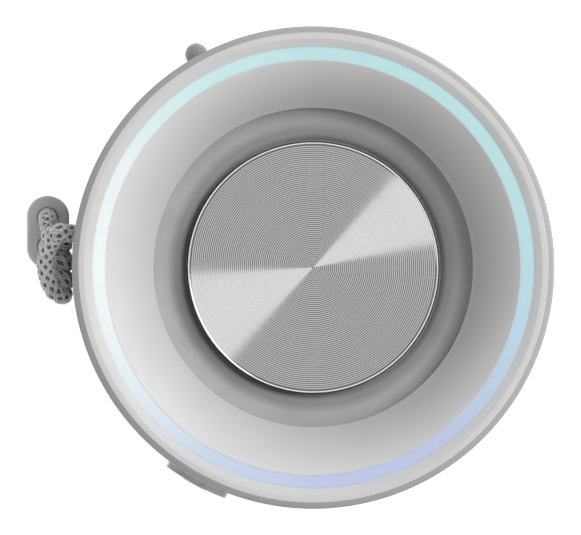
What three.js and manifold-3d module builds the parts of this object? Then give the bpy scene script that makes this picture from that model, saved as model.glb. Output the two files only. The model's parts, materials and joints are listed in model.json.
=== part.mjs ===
// An upright cylindrical smart speaker with a light ring, twin passive radiators and a wrist lanyard.
// Units are millimetres. The barrel stands on its foot ring at z = 0, on the +Z axis, and its
// drivers face +X. The lanyard hangs on the -X side.
import * as THREE from 'three';
import { mergeVertices } from 'three/addons/utils/BufferGeometryUtils.js';
import Module from 'manifold-3d';

const wasm = await Module();
wasm.setup();

// ---------------------------------------------------------------- overall sizes and clearances
const BODY_RADIUS = 36.5;
const BODY_HEIGHT = 203;
const FIT_GAP = 0.3; // between pieces that seat on or slide in each other
const RING_GAP = 0.15; // hairline between the concentric trim rings
const RING_STEPS = 36; // facets round a large ring
const SMALL_STEPS = 20; // facets round a small turned piece
const HOLE_STEPS = 12; // facets round a hole or a screw
const HALF_TURN = Math.PI;

// end caps, sleeve and barrel
const RIM_WIDTH = 1.0; // of the sloped band round each end
const RIM_DROP = 0.6;
const CAP_WALL = 1.5;
const CAP_SKIRT = 9;
const CAP_FLANGE = 2.4;
const SLEEVE_THICKNESS = 1.2;
const BARREL_WALL = 2.0;
const BARREL_TOP_DROP = 5.5; // top face of the barrel below the top of the speaker

// top trim rings, outside to inside
const BEZEL_WIDTH = 3.1; // from the barrel's side in to the light ring
const LIGHT_WIDTH = 2.0;
const LIGHT_DROP = 0.6;
const LIGHT_THICKNESS = 2.0;
const BEZEL_CHAMFER_WIDTH = 1.25;
const BEZEL_CHAMFER_DEPTH = 0.5;
const BOARD_THICKNESS = 1.0;
const LED_BOARD_DROP = 4.2;
const LED_COUNT = 12;
const LED_CHIP = [1.4, 1.4, 0.8];
const DISH_WIDTH = 7.2;
const DISH_DEPTH = 6.6; // of the dish's inner lip below the top of the speaker
const DISH_WALL = 0.8;
const DISH_FOOT_WIDTH = 1.2;
const DISH_FOOT_DROP = 6.0;
const DISH_FACE_SHARES = [0, 0.25, 0.5, 0.75, 1];
const DISH_EVEN_FALL = 0.72; // share of the fall that runs evenly; the rest steepens towards the lip

// passive radiators, the same at both ends
const ROLL_WIDTH = 5.2; // from the disc's edge out to the dish's lip
const DISC_THICKNESS = 1.2;
const DISC_CHAMFER = 0.35;
const ROLL_THICKNESS = 0.7;
const ROLL_DEPTH = 2.4;
const ROLL_CLAMP_WIDTH = 1.8;
const ROLL_LIP_WIDTH = 1.5;
const ROLL_LIP_SET = 0.18; // how far the lip is pressed up towards the disc's back
const ROLL_BEND_ANGLES = [45, 90, 135];
const MASS_RADIUS = 10;
const MASS_THICKNESS = 5;
const FRAME_THICKNESS = 2.3;
const GASKET_WIDTH = 1.4;

// bottom end
const FOOT_HEIGHT = 1.2; // how far the foot ring stands out of the bottom cap
const FOOT_INSET = 1.0; // how far it is let into the cap
const FOOT_MARGIN = 3.0; // from the barrel's side in to the foot ring
const FOOT_WIDTH = 3.0;
const BOTTOM_LIP = 1.0;
const BOTTOM_DISH_DEPTH = 5.2;

// volume keys
const KEY_ANGLE = THREE.MathUtils.degToRad(118.7);
const KEY_RADIUS = 1.75;
const KEY_LENGTH = 16;
const KEY_PROUD = 0.42; // of the key's own axis outside the barrel's side
const KEY_STEM = [2.2, 8];
const KEY_DROPS = { volume_up_key: 20, volume_down_key: 40 }; // of each key's middle below the top
const KEY_END_ANGLES = [0, 30, 60];
const SWITCH_SIZE = [1.5, 4, 4];
const SWITCH_TRAVEL_ROOM = 0.5;
const BOARD_INSET = 8.6; // from the barrel's side in to the back of the two switch boards
const BOARD_WIDTH = 10;
const KEY_BOARD_DROPS = [53, 14];

// control strip with its buttons, status light, microphone and charging port
const STRIP_ANGLE = THREE.MathUtils.degToRad(241.3);
const STRIP_WIDTH = 10.2;
const STRIP_PROUD = 1.05;
const STRIP_DROPS = [109, 13]; // of the strip's lower and upper ends below the top
const BUTTON_RADIUS = 2.3;
const BUTTON_PROUD = 0.3;
const BUTTON_DROPS = { power_button: 27, pair_button: 41, voice_button: 55 };
const STATUS_LIGHT_RADIUS = 0.8;
const STATUS_LIGHT_DROP = 65;
const MICROPHONE_DROP = 74;
const MICROPHONE_HOLE_RADIUS = 0.6;
const MICROPHONE_SIZE = [1.2, 3, 4];
const PORT_DROP = 93;
const PORT_POCKET = [1.3, 8, 16]; // depth, width, height
const PORT_COVER_THICKNESS = 1.0;
const PORT_SHELL = [6.4, 3.4, 9];
const PORT_WALL = 0.4;
const PORT_TONGUE = [4.8, 0.7, 6.7];
const CONTROL_BOARD_DROPS = [105, 17];
const LIGHT_PIPE_GAP = 1.0; // between the light pipe and its board

// drivers
const BAFFLE_INSET = 14.5; // from the barrel's side in to the baffle's front
const BAFFLE_THICKNESS = 2;
const BAFFLE_HALF_WIDTH = 22;
const BAFFLE_DROPS = [107, 25];
const DRIVER_DROP = 78;
const DRIVER_BASKET_RADIUS = 16.5;
const DRIVER_FLANGE_WIDTH = 3.5;
const DRIVER_FLANGE_THICKNESS = 1.5;
const DRIVER_BORE_WALL = 1.5;
const DRIVER_BASKET_DEPTH = 19.3;
const BASKET_WAIST_DEPTH = 8; // of the basket's straight wall behind the baffle's front
const BASKET_FLOOR_THICKNESS = 1.5;
const BASKET_NECK_WIDTH = 5;
const BASKET_WALL = 1.2;
const COIL_OUTER_RADIUS = 5.0;
const COIL_WALL = 0.5;
const COIL_REACH_FRONT = 4.8; // of the coil in front of the basket's floor
const COIL_REACH_BACK = 6.5; // and behind it, into the magnet
const POLE_RADIUS = 4.0;
const POLE_PROUD = 1.0;
const MAGNET_RADIUS = 14;
const MAGNET_LENGTH = 10;
const YOKE_THICKNESS = 2.2;
const YOKE_MARGIN = 1.0; // between the yoke's edge and the magnet's
const CONE_ROLL_WIDTH = 2.4; // from the cone's edge out to the basket's bore
const CONE_THICKNESS = 0.6;
const CONE_SET_BACK = 4.8; // of the cone's edge behind the basket's front
const CONE_ROLL_RISE = 1.0;
const DUST_CAP = { edge: 0.5, shoulder: 1.8, crown: 2.3, shoulderShare: 0.6 };
const SCREW_CIRCLE_MARGIN = 1.7; // from the basket's wall out to the screws
const SCREW_HEAD_RADIUS = 1.3;
const SCREW_SHANK_RADIUS = 0.6;
const SCREW_HEAD_EDGE = 0.5;
const SCREW_HEAD_CROWN = 0.9;
const SCREW_COUNT = 4;
const TWEETER_DROP = 45;
const TWEETER_PLATE_RADIUS = 9.5;
const TWEETER_DOME_RADIUS = 4.9;
const TWEETER_DOME = { edge: 0.5, shoulder: 1.7, crown: 2.2, shoulderShare: 0.6 };
const TWEETER_MAGNET_RADIUS = 7.5;
const TWEETER_MAGNET_LENGTH = 9;

// battery and electronics
const CELL_RADIUS = 9.15;
const CELL_LENGTH = 65;
const CELL_SPACING = 20;
const CELL_OFFSET = -12;
const BULKHEAD_THICKNESS = 2;
const LOWER_BULKHEAD_HEIGHT = 18.5;
const VENT_RADIUS = 5;
const VENT_CIRCLE_RADIUS = 23;
const VENT_ANGLES = [60, 90, 270, 300];
const MAIN_BOARD = [1.6, 50, 62];
const MAIN_BOARD_FACE = 4;
const SHIELD_SIZE = [3, 22, 26];

// lanyard
const CORD_DIAMETER = 2.9;
const CORD_SIDES = 8;
const CORD_STEPS = 64;
const GROMMET_ANGLE = THREE.MathUtils.degToRad(172);
const GROMMET_DROP = 5;
const GROMMET_WALL = 0.7;
const KNOT_CENTRE = [-39.4, 0.3, 193];
const KNOT_SEMI_AXES = [2.6, 5.9, 5.0];
const BEAD_CENTRE = [-40.5, 5.4, 176];
const BEAD_SIZE = [6.3, 11.1, 12];
const BEAD_HOLE_SPACING = 4.4;
const BEAD_HOLE_PLAY = 0.4; // round each strand

// The short length from the grommet to the knot.
const EXIT_ROUTE = [
  [-35.1, 4.93, 198],
  [-36.4, 5.11, 198],
  [-37.6, 5.28, 198],
  [-38.5, 5.3, 197.95],
];

// From the knot, down through the bead, round the hanging wrist loop and back up to the knot.
const LOOP_ROUTE = [
  [-39.9, 5.0, 188.0],
  [-40.3, 6.6, 185.6],
  [-40.5, 7.6, 182.6],
  [-40.5, 7.6, 170],
  [-40.5, 7.6, 150],
  [-40.5, 7.6, 130],
  [-40.5, 7.6, 116],
  [-40.5, 8.1, 102],
  [-40.5, 8.6, 88],
  [-40.5, 8.75, 76],
  [-40.5, 8.7, 64],
  [-40.5, 6.94, 59.76],
  [-40.5, 2.7, 58],
  [-40.5, -1.54, 59.76],
  [-40.5, -3.3, 64],
  [-40.5, -3.3, 74],
  [-40.5, -2.4, 86],
  [-40.5, -0.2, 97],
  [-40.5, 2.2, 107],
  [-40.5, 3.2, 118],
  [-40.5, 3.2, 130],
  [-40.5, 3.2, 150],
  [-40.5, 3.2, 170],
  [-40.5, 3.2, 182.6],
  [-40.3, 2.4, 185.2],
  [-40.0, 1.2, 187.4],
];

// ---------------------------------------------------------------- sizes that follow
const LIGHT_OUTER_RADIUS = BODY_RADIUS - BEZEL_WIDTH;
const LIGHT_INNER_RADIUS = LIGHT_OUTER_RADIUS - LIGHT_WIDTH;
const DISH_INNER_RADIUS = LIGHT_INNER_RADIUS - DISH_WIDTH;
const DISC_RADIUS = DISH_INNER_RADIUS - ROLL_WIDTH;
const FOOT_OUTER_RADIUS = BODY_RADIUS - FOOT_MARGIN;
const FOOT_INNER_RADIUS = FOOT_OUTER_RADIUS - FOOT_WIDTH;
const KEY_CENTRE_RADIUS = BODY_RADIUS + KEY_PROUD;
const BOARD_RADIUS = BODY_RADIUS - BOARD_INSET;
const BAFFLE_FRONT = BODY_RADIUS - BAFFLE_INSET;
const DRIVER_FLANGE_RADIUS = DRIVER_BASKET_RADIUS + DRIVER_FLANGE_WIDTH;
const DRIVER_BORE_RADIUS = DRIVER_BASKET_RADIUS - DRIVER_BORE_WALL;
const CONE_OUTER_RADIUS = DRIVER_BORE_RADIUS - CONE_ROLL_WIDTH;
const SCREW_CIRCLE_RADIUS = DRIVER_BASKET_RADIUS + SCREW_CIRCLE_MARGIN;
const CAP_INNER_RADIUS = BODY_RADIUS - CAP_WALL;
const BARREL_RADIUS = CAP_INNER_RADIUS - FIT_GAP;
const BARREL_BORE = BARREL_RADIUS - BARREL_WALL;
const INSIDE_RADIUS = BARREL_BORE - FIT_GAP;
const BARREL_TOP = BODY_HEIGHT - BARREL_TOP_DROP;
const STRIP_OUTER_RADIUS = BODY_RADIUS + STRIP_PROUD;
const BARREL_BOTTOM = FOOT_HEIGHT + BOTTOM_DISH_DEPTH + FIT_GAP;
const SLEEVE_SPAN = [FOOT_HEIGHT + CAP_SKIRT + FIT_GAP, BODY_HEIGHT - CAP_SKIRT - FIT_GAP];
const KEY_HEIGHTS = heightsOf(KEY_DROPS);
const KEY_BOARD_SPAN = KEY_BOARD_DROPS.map(topEnd);
const STRIP_SPAN = STRIP_DROPS.map(topEnd);
const BUTTON_HEIGHTS = heightsOf(BUTTON_DROPS);
const STATUS_LIGHT_HEIGHT = topEnd(STATUS_LIGHT_DROP);
const MICROPHONE_HEIGHT = topEnd(MICROPHONE_DROP);
const PORT_HEIGHT = topEnd(PORT_DROP);
const CONTROL_BOARD_SPAN = CONTROL_BOARD_DROPS.map(topEnd);
const BAFFLE_SPAN = BAFFLE_DROPS.map(topEnd);
const DRIVER_HEIGHT = topEnd(DRIVER_DROP);
const TWEETER_HEIGHT = topEnd(TWEETER_DROP);
const GROMMET_HEIGHT = topEnd(GROMMET_DROP);
const SWITCH_FACE = BOARD_RADIUS + BOARD_THICKNESS + SWITCH_SIZE[0];
const PLUNGER_END = SWITCH_FACE + SWITCH_TRAVEL_ROOM;
const UPPER_BULKHEAD_HEIGHT = LOWER_BULKHEAD_HEIGHT + BULKHEAD_THICKNESS + CELL_LENGTH + 2 * FIT_GAP;

// Each end is described by depth below its own face; these turn a depth into a height.
function topEnd(depth) {
  return BODY_HEIGHT - depth;
}

function bottomEnd(depth) {
  return FOOT_HEIGHT + depth;
}

function heightsOf(drops) {
  return Object.fromEntries(Object.entries(drops).map(([name, drop]) => [name, topEnd(drop)]));
}

// ---------------------------------------------------------------- materials
function finish(color, roughness, metalness = 0) {
  return new THREE.MeshStandardMaterial({ color, roughness, metalness });
}

const shellPlastic = finish(0xcdcdcd, 0.45);
const lightDiffuser = finish(0xd8f2f2, 0.35);
const spunAluminium = finish(0xa8a8a8, 0.3, 1);
const darkRubber = finish(0x6d6d6d, 0.7);
const knitFabric = finish(0x9a9a9a, 0.9);
const keyPlastic = finish(0x808080, 0.5);
const innerPlastic = finish(0x2c2c2e, 0.6);
const circuitBoard = finish(0x1d5a34, 0.5);
const plainSteel = finish(0xb4b6b8, 0.35, 1);
const magnetFerrite = finish(0x3a3a3c, 0.6);
const coneFabric = finish(0x232325, 0.8);
const copperWire = finish(0xb5703a, 0.35, 1);
const cellWrap = finish(0x3f6fa8, 0.45);
const cordFabric = finish(0x9c9c9c, 0.9);

// ---------------------------------------------------------------- geometry helpers
const speaker = new THREE.Group();

function addPart(parent, name, geometry, material) {
  const mesh = new THREE.Mesh(geometry, material);
  mesh.name = name;
  parent.add(mesh);
  return mesh;
}

// A solid of revolution about Z from [radius, height] points, closed or ending on the axis.
function turned(points, steps = RING_STEPS) {
  const profile = points.map(([radius, height]) => new THREE.Vector2(radius, height));
  if (THREE.ShapeUtils.area(profile) < 0) profile.reverse();
  const startsOnAxis = profile[0].x === 0 && profile[profile.length - 1].x === 0;
  if (!startsOnAxis) profile.push(profile[0].clone());
  const geometry = new THREE.LatheGeometry(profile, steps);
  geometry.rotateX(HALF_TURN / 2);
  return geometry;
}

function turnedRing(innerRadius, outerRadius, low, high, steps = RING_STEPS) {
  return turned([[innerRadius, low], [outerRadius, low], [outerRadius, high], [innerRadius, high]], steps);
}

function turnedDisc(radius, low, high, steps = RING_STEPS) {
  return turned([[0, low], [radius, low], [radius, high], [0, high]], steps);
}

// A box with one face at x = near, reaching out along +X, centred on y = 0 and z = height.
function outwardBox([depth, width, length], near, height) {
  const geometry = new THREE.BoxGeometry(depth, width, length);
  geometry.translate(near + depth / 2, 0, height);
  return geometry;
}

// A round bar along +X from near to far.
function outwardBar(radius, near, far, height, steps = HOLE_STEPS) {
  const geometry = turnedDisc(radius, near, far, steps);
  geometry.rotateY(HALF_TURN / 2);
  geometry.translate(0, 0, height);
  return geometry;
}

function solidOf(geometry) {
  const bare = geometry.clone();
  bare.deleteAttribute('normal');
  bare.deleteAttribute('uv');
  const merged = mergeVertices(bare, 1e-4);
  const corners = merged.index.array;
  const kept = [];
  for (let i = 0; i < corners.length; i += 3) {
    const [a, b, c] = corners.slice(i, i + 3);
    if (a !== b && b !== c && c !== a) kept.push(a, b, c);
  }
  const vertProperties = merged.attributes.position.array;
  return new wasm.Manifold(new wasm.Mesh({ numProp: 3, vertProperties, triVerts: new Uint32Array(kept) }));
}

function geometryOf(solid) {
  const mesh = solid.getMesh();
  const geometry = new THREE.BufferGeometry();
  geometry.setAttribute('position', new THREE.BufferAttribute(mesh.vertProperties, 3));
  geometry.setIndex(new THREE.BufferAttribute(mesh.triVerts, 1));
  return geometry;
}

function cut(geometry, ...tools) {
  return geometryOf(tools.reduce((solid, tool) => solid.subtract(solidOf(tool)), solidOf(geometry)));
}

function join(geometry, ...others) {
  return geometryOf(others.reduce((solid, other) => solid.add(solidOf(other)), solidOf(geometry)));
}

function common(geometry, other) {
  return geometryOf(solidOf(geometry).intersect(solidOf(other)));
}

// ---------------------------------------------------------------- shared end pieces
// fromEnd is topEnd or bottomEnd.
function rollSurround(fromEnd, seat) {
  const lipInner = DISC_RADIUS - ROLL_LIP_WIDTH;
  const lipDepth = seat + FIT_GAP + DISC_THICKNESS - ROLL_LIP_SET;
  const clampOuter = DISH_INNER_RADIUS + ROLL_CLAMP_WIDTH;
  const rollInner = DISC_RADIUS + 2 * FIT_GAP;
  const rollOuter = DISH_INNER_RADIUS - FIT_GAP / 2;
  const middle = (rollInner + rollOuter) / 2;
  const reach = (rollOuter - rollInner) / 2;
  const top = [[clampOuter, seat], [rollOuter, seat]];
  const under = [[clampOuter, seat + ROLL_THICKNESS], [rollOuter + ROLL_THICKNESS, seat + ROLL_THICKNESS]];
  for (const angle of ROLL_BEND_ANGLES) {
    const turn = THREE.MathUtils.degToRad(angle);
    const across = Math.cos(turn);
    const down = Math.sin(turn);
    top.push([middle + reach * across, seat + ROLL_DEPTH * down]);
    under.push([middle + (reach + ROLL_THICKNESS) * across, seat + (ROLL_DEPTH + ROLL_THICKNESS) * down]);
  }
  top.push([rollInner, lipDepth], [lipInner, lipDepth]);
  under.push([rollInner - ROLL_THICKNESS, lipDepth + ROLL_THICKNESS], [lipInner, lipDepth + ROLL_THICKNESS]);
  const outline = [...top, ...under.reverse()];
  return turned(outline.map(([radius, depth]) => [radius, fromEnd(depth)]));
}

function radiatorDisc(fromEnd, face) {
  const outline = [
    [0, face],
    [DISC_RADIUS - DISC_CHAMFER, face],
    [DISC_RADIUS, face + DISC_CHAMFER],
    [DISC_RADIUS, face + DISC_THICKNESS],
    [0, face + DISC_THICKNESS],
  ];
  return turned(outline.map(([radius, depth]) => [radius, fromEnd(depth)]));
}

function ringAtEnd(fromEnd, innerRadius, outerRadius, near, far) {
  return turnedRing(innerRadius, outerRadius, fromEnd(near), fromEnd(far));
}

// seat is the depth of the surround's clamped edge; the disc sits just above its inner lip.
function addRadiator(end, fromEnd, seat) {
  const discFace = seat - 2 * FIT_GAP / 3;
  const discBack = discFace + DISC_THICKNESS;
  const massNear = discBack + FIT_GAP;
  const frameNear = seat + ROLL_THICKNESS + FIT_GAP;
  const frameInner = DISH_INNER_RADIUS + ROLL_THICKNESS + FIT_GAP;
  const mass = ringAtEnd(fromEnd, 0, MASS_RADIUS, massNear, massNear + MASS_THICKNESS);
  const frame = ringAtEnd(fromEnd, frameInner, INSIDE_RADIUS, frameNear, frameNear + FRAME_THICKNESS);
  addPart(speaker, `${end}_surround`, rollSurround(fromEnd, seat), darkRubber);
  addPart(speaker, `${end}_radiator`, radiatorDisc(fromEnd, discFace), spunAluminium);
  addPart(speaker, `${end}_radiator_mass`, mass, plainSteel);
  addPart(speaker, `${end}_radiator_frame`, frame, innerPlastic);
  return frameNear;
}

// ---------------------------------------------------------------- top end
function addTopCap() {
  const outline = [
    [BODY_RADIUS - RIM_WIDTH, 0],
    [BODY_RADIUS, RIM_DROP],
    [BODY_RADIUS, CAP_SKIRT],
    [CAP_INNER_RADIUS, CAP_SKIRT],
    [CAP_INNER_RADIUS, CAP_FLANGE],
    [LIGHT_OUTER_RADIUS, CAP_FLANGE],
    [LIGHT_OUTER_RADIUS, BEZEL_CHAMFER_DEPTH],
    [LIGHT_OUTER_RADIUS + BEZEL_CHAMFER_WIDTH, 0],
  ];
  const ring = turned(outline.map(([radius, depth]) => [radius, topEnd(depth)]));
  const eyelet = outwardBar(grommetRadius() + FIT_GAP, BARREL_RADIUS, BODY_RADIUS + 1, GROMMET_HEIGHT);
  eyelet.rotateZ(GROMMET_ANGLE);
  addPart(speaker, 'top_cap', cut(ring, eyelet), shellPlastic);
}

function addLightRing() {
  const inner = LIGHT_INNER_RADIUS + RING_GAP;
  const outer = LIGHT_OUTER_RADIUS - RING_GAP;
  const ring = ringAtEnd(topEnd, inner, outer, LIGHT_DROP, LIGHT_DROP + LIGHT_THICKNESS);
  addPart(speaker, 'light_ring', ring, lightDiffuser);

  const boardInner = LIGHT_INNER_RADIUS + FIT_GAP;
  const boardOuter = BARREL_RADIUS - FIT_GAP;
  const board = ringAtEnd(topEnd, boardInner, boardOuter, LED_BOARD_DROP, LED_BOARD_DROP + BOARD_THICKNESS);
  const chips = [];
  for (let i = 0; i < LED_COUNT; i += 1) {
    const [width, length, height] = LED_CHIP;
    const chip = new THREE.BoxGeometry(width, length, height * 2);
    chip.translate((boardInner + boardOuter) / 2, 0, topEnd(LED_BOARD_DROP));
    chip.rotateZ((i * 2 * HALF_TURN) / LED_COUNT);
    chips.push(chip);
  }
  addPart(speaker, 'led_board', join(board, ...chips), circuitBoard);
}

// The flared dish round the radiator: steep at its lip, flatter towards the light ring.
function addTopDish() {
  const fall = DISH_DEPTH - LIGHT_DROP;
  const face = [];
  const back = [];
  for (const share of DISH_FACE_SHARES) {
    const radius = LIGHT_INNER_RADIUS - DISH_WIDTH * share;
    const bend = DISH_EVEN_FALL * share + (1 - DISH_EVEN_FALL) * share * share;
    const depth = LIGHT_DROP + fall * bend;
    face.push([radius, depth]);
    if (share > 0) back.unshift([radius + DISH_WALL, depth + DISH_WALL]);
  }
  const footInner = LIGHT_INNER_RADIUS - DISH_FOOT_WIDTH;
  const outline = [
    ...face,
    [DISH_INNER_RADIUS, DISH_DEPTH + DISH_WALL],
    ...back.filter(([radius]) => radius < footInner),
    [footInner, LIGHT_DROP + 2 * DISH_WALL],
    [footInner, DISH_FOOT_DROP],
    [LIGHT_INNER_RADIUS, DISH_FOOT_DROP],
  ];
  const dish = turned(outline.map(([radius, depth]) => [radius, topEnd(depth)]));
  addPart(speaker, 'top_dish', dish, shellPlastic);
}

function addTopRadiator() {
  const seat = DISH_DEPTH + DISH_WALL + FIT_GAP;
  const frameNear = addRadiator('top', topEnd, seat);
  const outer = LIGHT_INNER_RADIUS;
  const near = DISH_FOOT_DROP + FIT_GAP;
  const gasket = ringAtEnd(topEnd, outer - GASKET_WIDTH, outer, near, frameNear - FIT_GAP);
  addPart(speaker, 'top_gasket', gasket, darkRubber);
}

// ---------------------------------------------------------------- bottom end
function addBottomCap() {
  const flange = BOTTOM_DISH_DEPTH;
  const grooveDepth = FOOT_INSET + FIT_GAP;
  const grooveInner = FOOT_INNER_RADIUS - FIT_GAP;
  const grooveOuter = FOOT_OUTER_RADIUS + FIT_GAP;
  const outline = [
    [BODY_RADIUS - RIM_WIDTH, 0],
    [BODY_RADIUS, RIM_DROP],
    [BODY_RADIUS, CAP_SKIRT],
    [CAP_INNER_RADIUS, CAP_SKIRT],
    [CAP_INNER_RADIUS, flange],
    [DISH_INNER_RADIUS, flange],
    [DISH_INNER_RADIUS, flange - DISH_WALL],
    [grooveInner - BOTTOM_LIP, 0],
    [grooveInner, 0],
    [grooveInner, grooveDepth],
    [grooveOuter, grooveDepth],
    [grooveOuter, 0],
  ];
  const cap = turned(outline.map(([radius, depth]) => [radius, bottomEnd(depth)]));
  addPart(speaker, 'bottom_cap', cap, shellPlastic);
  const foot = turnedRing(FOOT_INNER_RADIUS, FOOT_OUTER_RADIUS, 0, FOOT_HEIGHT + FOOT_INSET);
  addPart(speaker, 'foot_ring', foot, darkRubber);
}

function addBottomRadiator() {
  const seat = BOTTOM_DISH_DEPTH + FIT_GAP;
  const frameNear = addRadiator('bottom', bottomEnd, seat);
  const outer = INSIDE_RADIUS - FIT_GAP;
  const gasket = ringAtEnd(bottomEnd, outer - GASKET_WIDTH, outer, seat, frameNear - FIT_GAP);
  addPart(speaker, 'bottom_gasket', gasket, darkRubber);
}

// ---------------------------------------------------------------- barrel and sleeve
function keyStemSlot() {
  const [width, length] = KEY_STEM;
  return [2 * BARREL_WALL + 2, width + 2 * FIT_GAP, length + 2 * FIT_GAP];
}

function addBarrel() {
  const tube = turnedRing(BARREL_BORE, BARREL_RADIUS, BARREL_BOTTOM, BARREL_TOP);
  const near = BARREL_BORE - 1;
  const far = BARREL_RADIUS + 1;
  const windowNear = near - 4 * BARREL_WALL;
  const driverWindow = outwardBar(DRIVER_BASKET_RADIUS, windowNear, far, DRIVER_HEIGHT, SMALL_STEPS);
  const tweeterWindow = outwardBar(TWEETER_MAGNET_RADIUS, near, far, TWEETER_HEIGHT);
  const tools = [driverWindow, tweeterWindow];
  for (const height of Object.values(KEY_HEIGHTS)) {
    const slot = outwardBox(keyStemSlot(), near, height);
    slot.rotateZ(KEY_ANGLE);
    tools.push(slot);
  }
  const stripHoles = Object.values(BUTTON_HEIGHTS).map((height) => [BUTTON_RADIUS, height]);
  stripHoles.push([STATUS_LIGHT_RADIUS, STATUS_LIGHT_HEIGHT], [MICROPHONE_HOLE_RADIUS, MICROPHONE_HEIGHT]);
  for (const [radius, height] of stripHoles) {
    const hole = outwardBar(radius + FIT_GAP, near, far, height);
    hole.rotateZ(STRIP_ANGLE);
    tools.push(hole);
  }
  const portHole = outwardBox(portOpening(BARREL_WALL * 2), near, PORT_HEIGHT);
  portHole.rotateZ(STRIP_ANGLE);
  tools.push(portHole);
  addPart(speaker, 'inner_barrel', cut(tube, ...tools), innerPlastic);
}

function portOpening(depth) {
  return [depth, PORT_SHELL[1] + 2 * FIT_GAP, PORT_SHELL[2] + 2 * FIT_GAP];
}

function addSleeve() {
  const inner = BARREL_RADIUS + FIT_GAP;
  const outer = inner + SLEEVE_THICKNESS;
  const tube = turnedRing(inner, outer, SLEEVE_SPAN[0], SLEEVE_SPAN[1]);
  const depth = SLEEVE_THICKNESS + 2;
  const stripLength = STRIP_SPAN[1] - STRIP_SPAN[0] + 2 * FIT_GAP;
  const stripMiddle = (STRIP_SPAN[0] + STRIP_SPAN[1]) / 2;
  const stripSlot = outwardBox([depth, STRIP_WIDTH + 2 * FIT_GAP, stripLength], inner - 1, stripMiddle);
  stripSlot.rotateZ(STRIP_ANGLE);
  const tools = [stripSlot];
  for (const height of Object.values(KEY_HEIGHTS)) {
    const size = [depth, 2 * (KEY_RADIUS + FIT_GAP), KEY_LENGTH + 2 * FIT_GAP];
    const slot = outwardBox(size, inner - 1, height);
    slot.rotateZ(KEY_ANGLE);
    tools.push(slot);
  }
  addPart(speaker, 'fabric_sleeve', cut(tube, ...tools), knitFabric);
}

// ---------------------------------------------------------------- volume keys
// A switch board standing parallel to the axis, with a tact switch at each listed height.
function switchBoard(span, heights) {
  const length = span[1] - span[0];
  const middle = (span[0] + span[1]) / 2;
  const board = outwardBox([BOARD_THICKNESS, BOARD_WIDTH, length], BOARD_RADIUS, middle);
  const [depth, width, size] = SWITCH_SIZE;
  const root = BOARD_RADIUS + BOARD_THICKNESS / 2;
  const block = [depth + BOARD_THICKNESS / 2, width, size];
  return join(board, ...heights.map((height) => outwardBox(block, root, height)));
}

// A round-backed key: a bar with hemispherical ends, on a flat stem that reaches its switch.
function volumeKey(height) {
  const outline = [[0, -KEY_LENGTH / 2]];
  const straight = KEY_LENGTH / 2 - KEY_RADIUS;
  const upperEnd = KEY_END_ANGLES.map((angle) => {
    const turn = THREE.MathUtils.degToRad(angle);
    return [KEY_RADIUS * Math.cos(turn), straight + KEY_RADIUS * Math.sin(turn)];
  });
  const lowerEnd = upperEnd.map(([radius, along]) => [radius, -along]).reverse();
  outline.push(...lowerEnd, ...upperEnd, [0, KEY_LENGTH / 2]);
  const bar = turned(outline, HOLE_STEPS);
  bar.translate(KEY_CENTRE_RADIUS, 0, height);
  const [width, length] = KEY_STEM;
  const stem = outwardBox([KEY_CENTRE_RADIUS - PLUNGER_END, width, length], PLUNGER_END, height);
  return join(bar, stem);
}

function addVolumeKeys() {
  const side = new THREE.Group();
  side.rotation.z = KEY_ANGLE;
  speaker.add(side);
  for (const [name, height] of Object.entries(KEY_HEIGHTS)) {
    addPart(side, name, volumeKey(height), keyPlastic);
  }
  addPart(side, 'key_board', switchBoard(KEY_BOARD_SPAN, Object.values(KEY_HEIGHTS)), circuitBoard);
}

// ---------------------------------------------------------------- control strip
function controlStrip() {
  const length = STRIP_SPAN[1] - STRIP_SPAN[0];
  const middle = (STRIP_SPAN[0] + STRIP_SPAN[1]) / 2;
  const arc = turnedRing(BARREL_RADIUS + FIT_GAP, STRIP_OUTER_RADIUS, ...STRIP_SPAN, 2 * RING_STEPS);
  const slab = outwardBox([STRIP_OUTER_RADIUS, STRIP_WIDTH, length + 2], BODY_RADIUS / 2, middle);
  const strip = common(arc, slab);
  const near = BARREL_RADIUS - 1;
  const far = STRIP_OUTER_RADIUS + 1;
  const tools = Object.values(BUTTON_HEIGHTS).map((height) => {
    return outwardBar(BUTTON_RADIUS + FIT_GAP, near, far, height);
  });
  tools.push(outwardBar(STATUS_LIGHT_RADIUS + FIT_GAP, near, far, STATUS_LIGHT_HEIGHT));
  tools.push(outwardBar(MICROPHONE_HOLE_RADIUS, near, far, MICROPHONE_HEIGHT));
  const [depth, width, height] = PORT_POCKET;
  tools.push(outwardBox([depth + 1, width, height], STRIP_OUTER_RADIUS - depth, PORT_HEIGHT));
  tools.push(outwardBox(portOpening(STRIP_OUTER_RADIUS - near), near, PORT_HEIGHT));
  return cut(strip, ...tools);
}

function usbPort() {
  const near = BOARD_RADIUS + BOARD_THICKNESS + FIT_GAP;
  const shell = outwardBox(PORT_SHELL, near, PORT_HEIGHT);
  const [depth, width, length] = PORT_SHELL;
  const mouth = [depth, width - 2 * PORT_WALL, length - 2 * PORT_WALL];
  const open = cut(shell, outwardBox(mouth, near + 2 * PORT_WALL, PORT_HEIGHT));
  return join(open, outwardBox(PORT_TONGUE, near + PORT_WALL, PORT_HEIGHT));
}

function portCover() {
  const width = PORT_POCKET[1] - 2 * FIT_GAP;
  const height = PORT_POCKET[2] - 2 * FIT_GAP;
  const near = STRIP_OUTER_RADIUS - PORT_COVER_THICKNESS;
  const low = PORT_HEIGHT - height / 2;
  const arc = turnedRing(near, STRIP_OUTER_RADIUS, low, low + height, 2 * RING_STEPS);
  return common(arc, outwardBox([STRIP_OUTER_RADIUS, width, height + 2], BODY_RADIUS / 2, PORT_HEIGHT));
}

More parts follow.
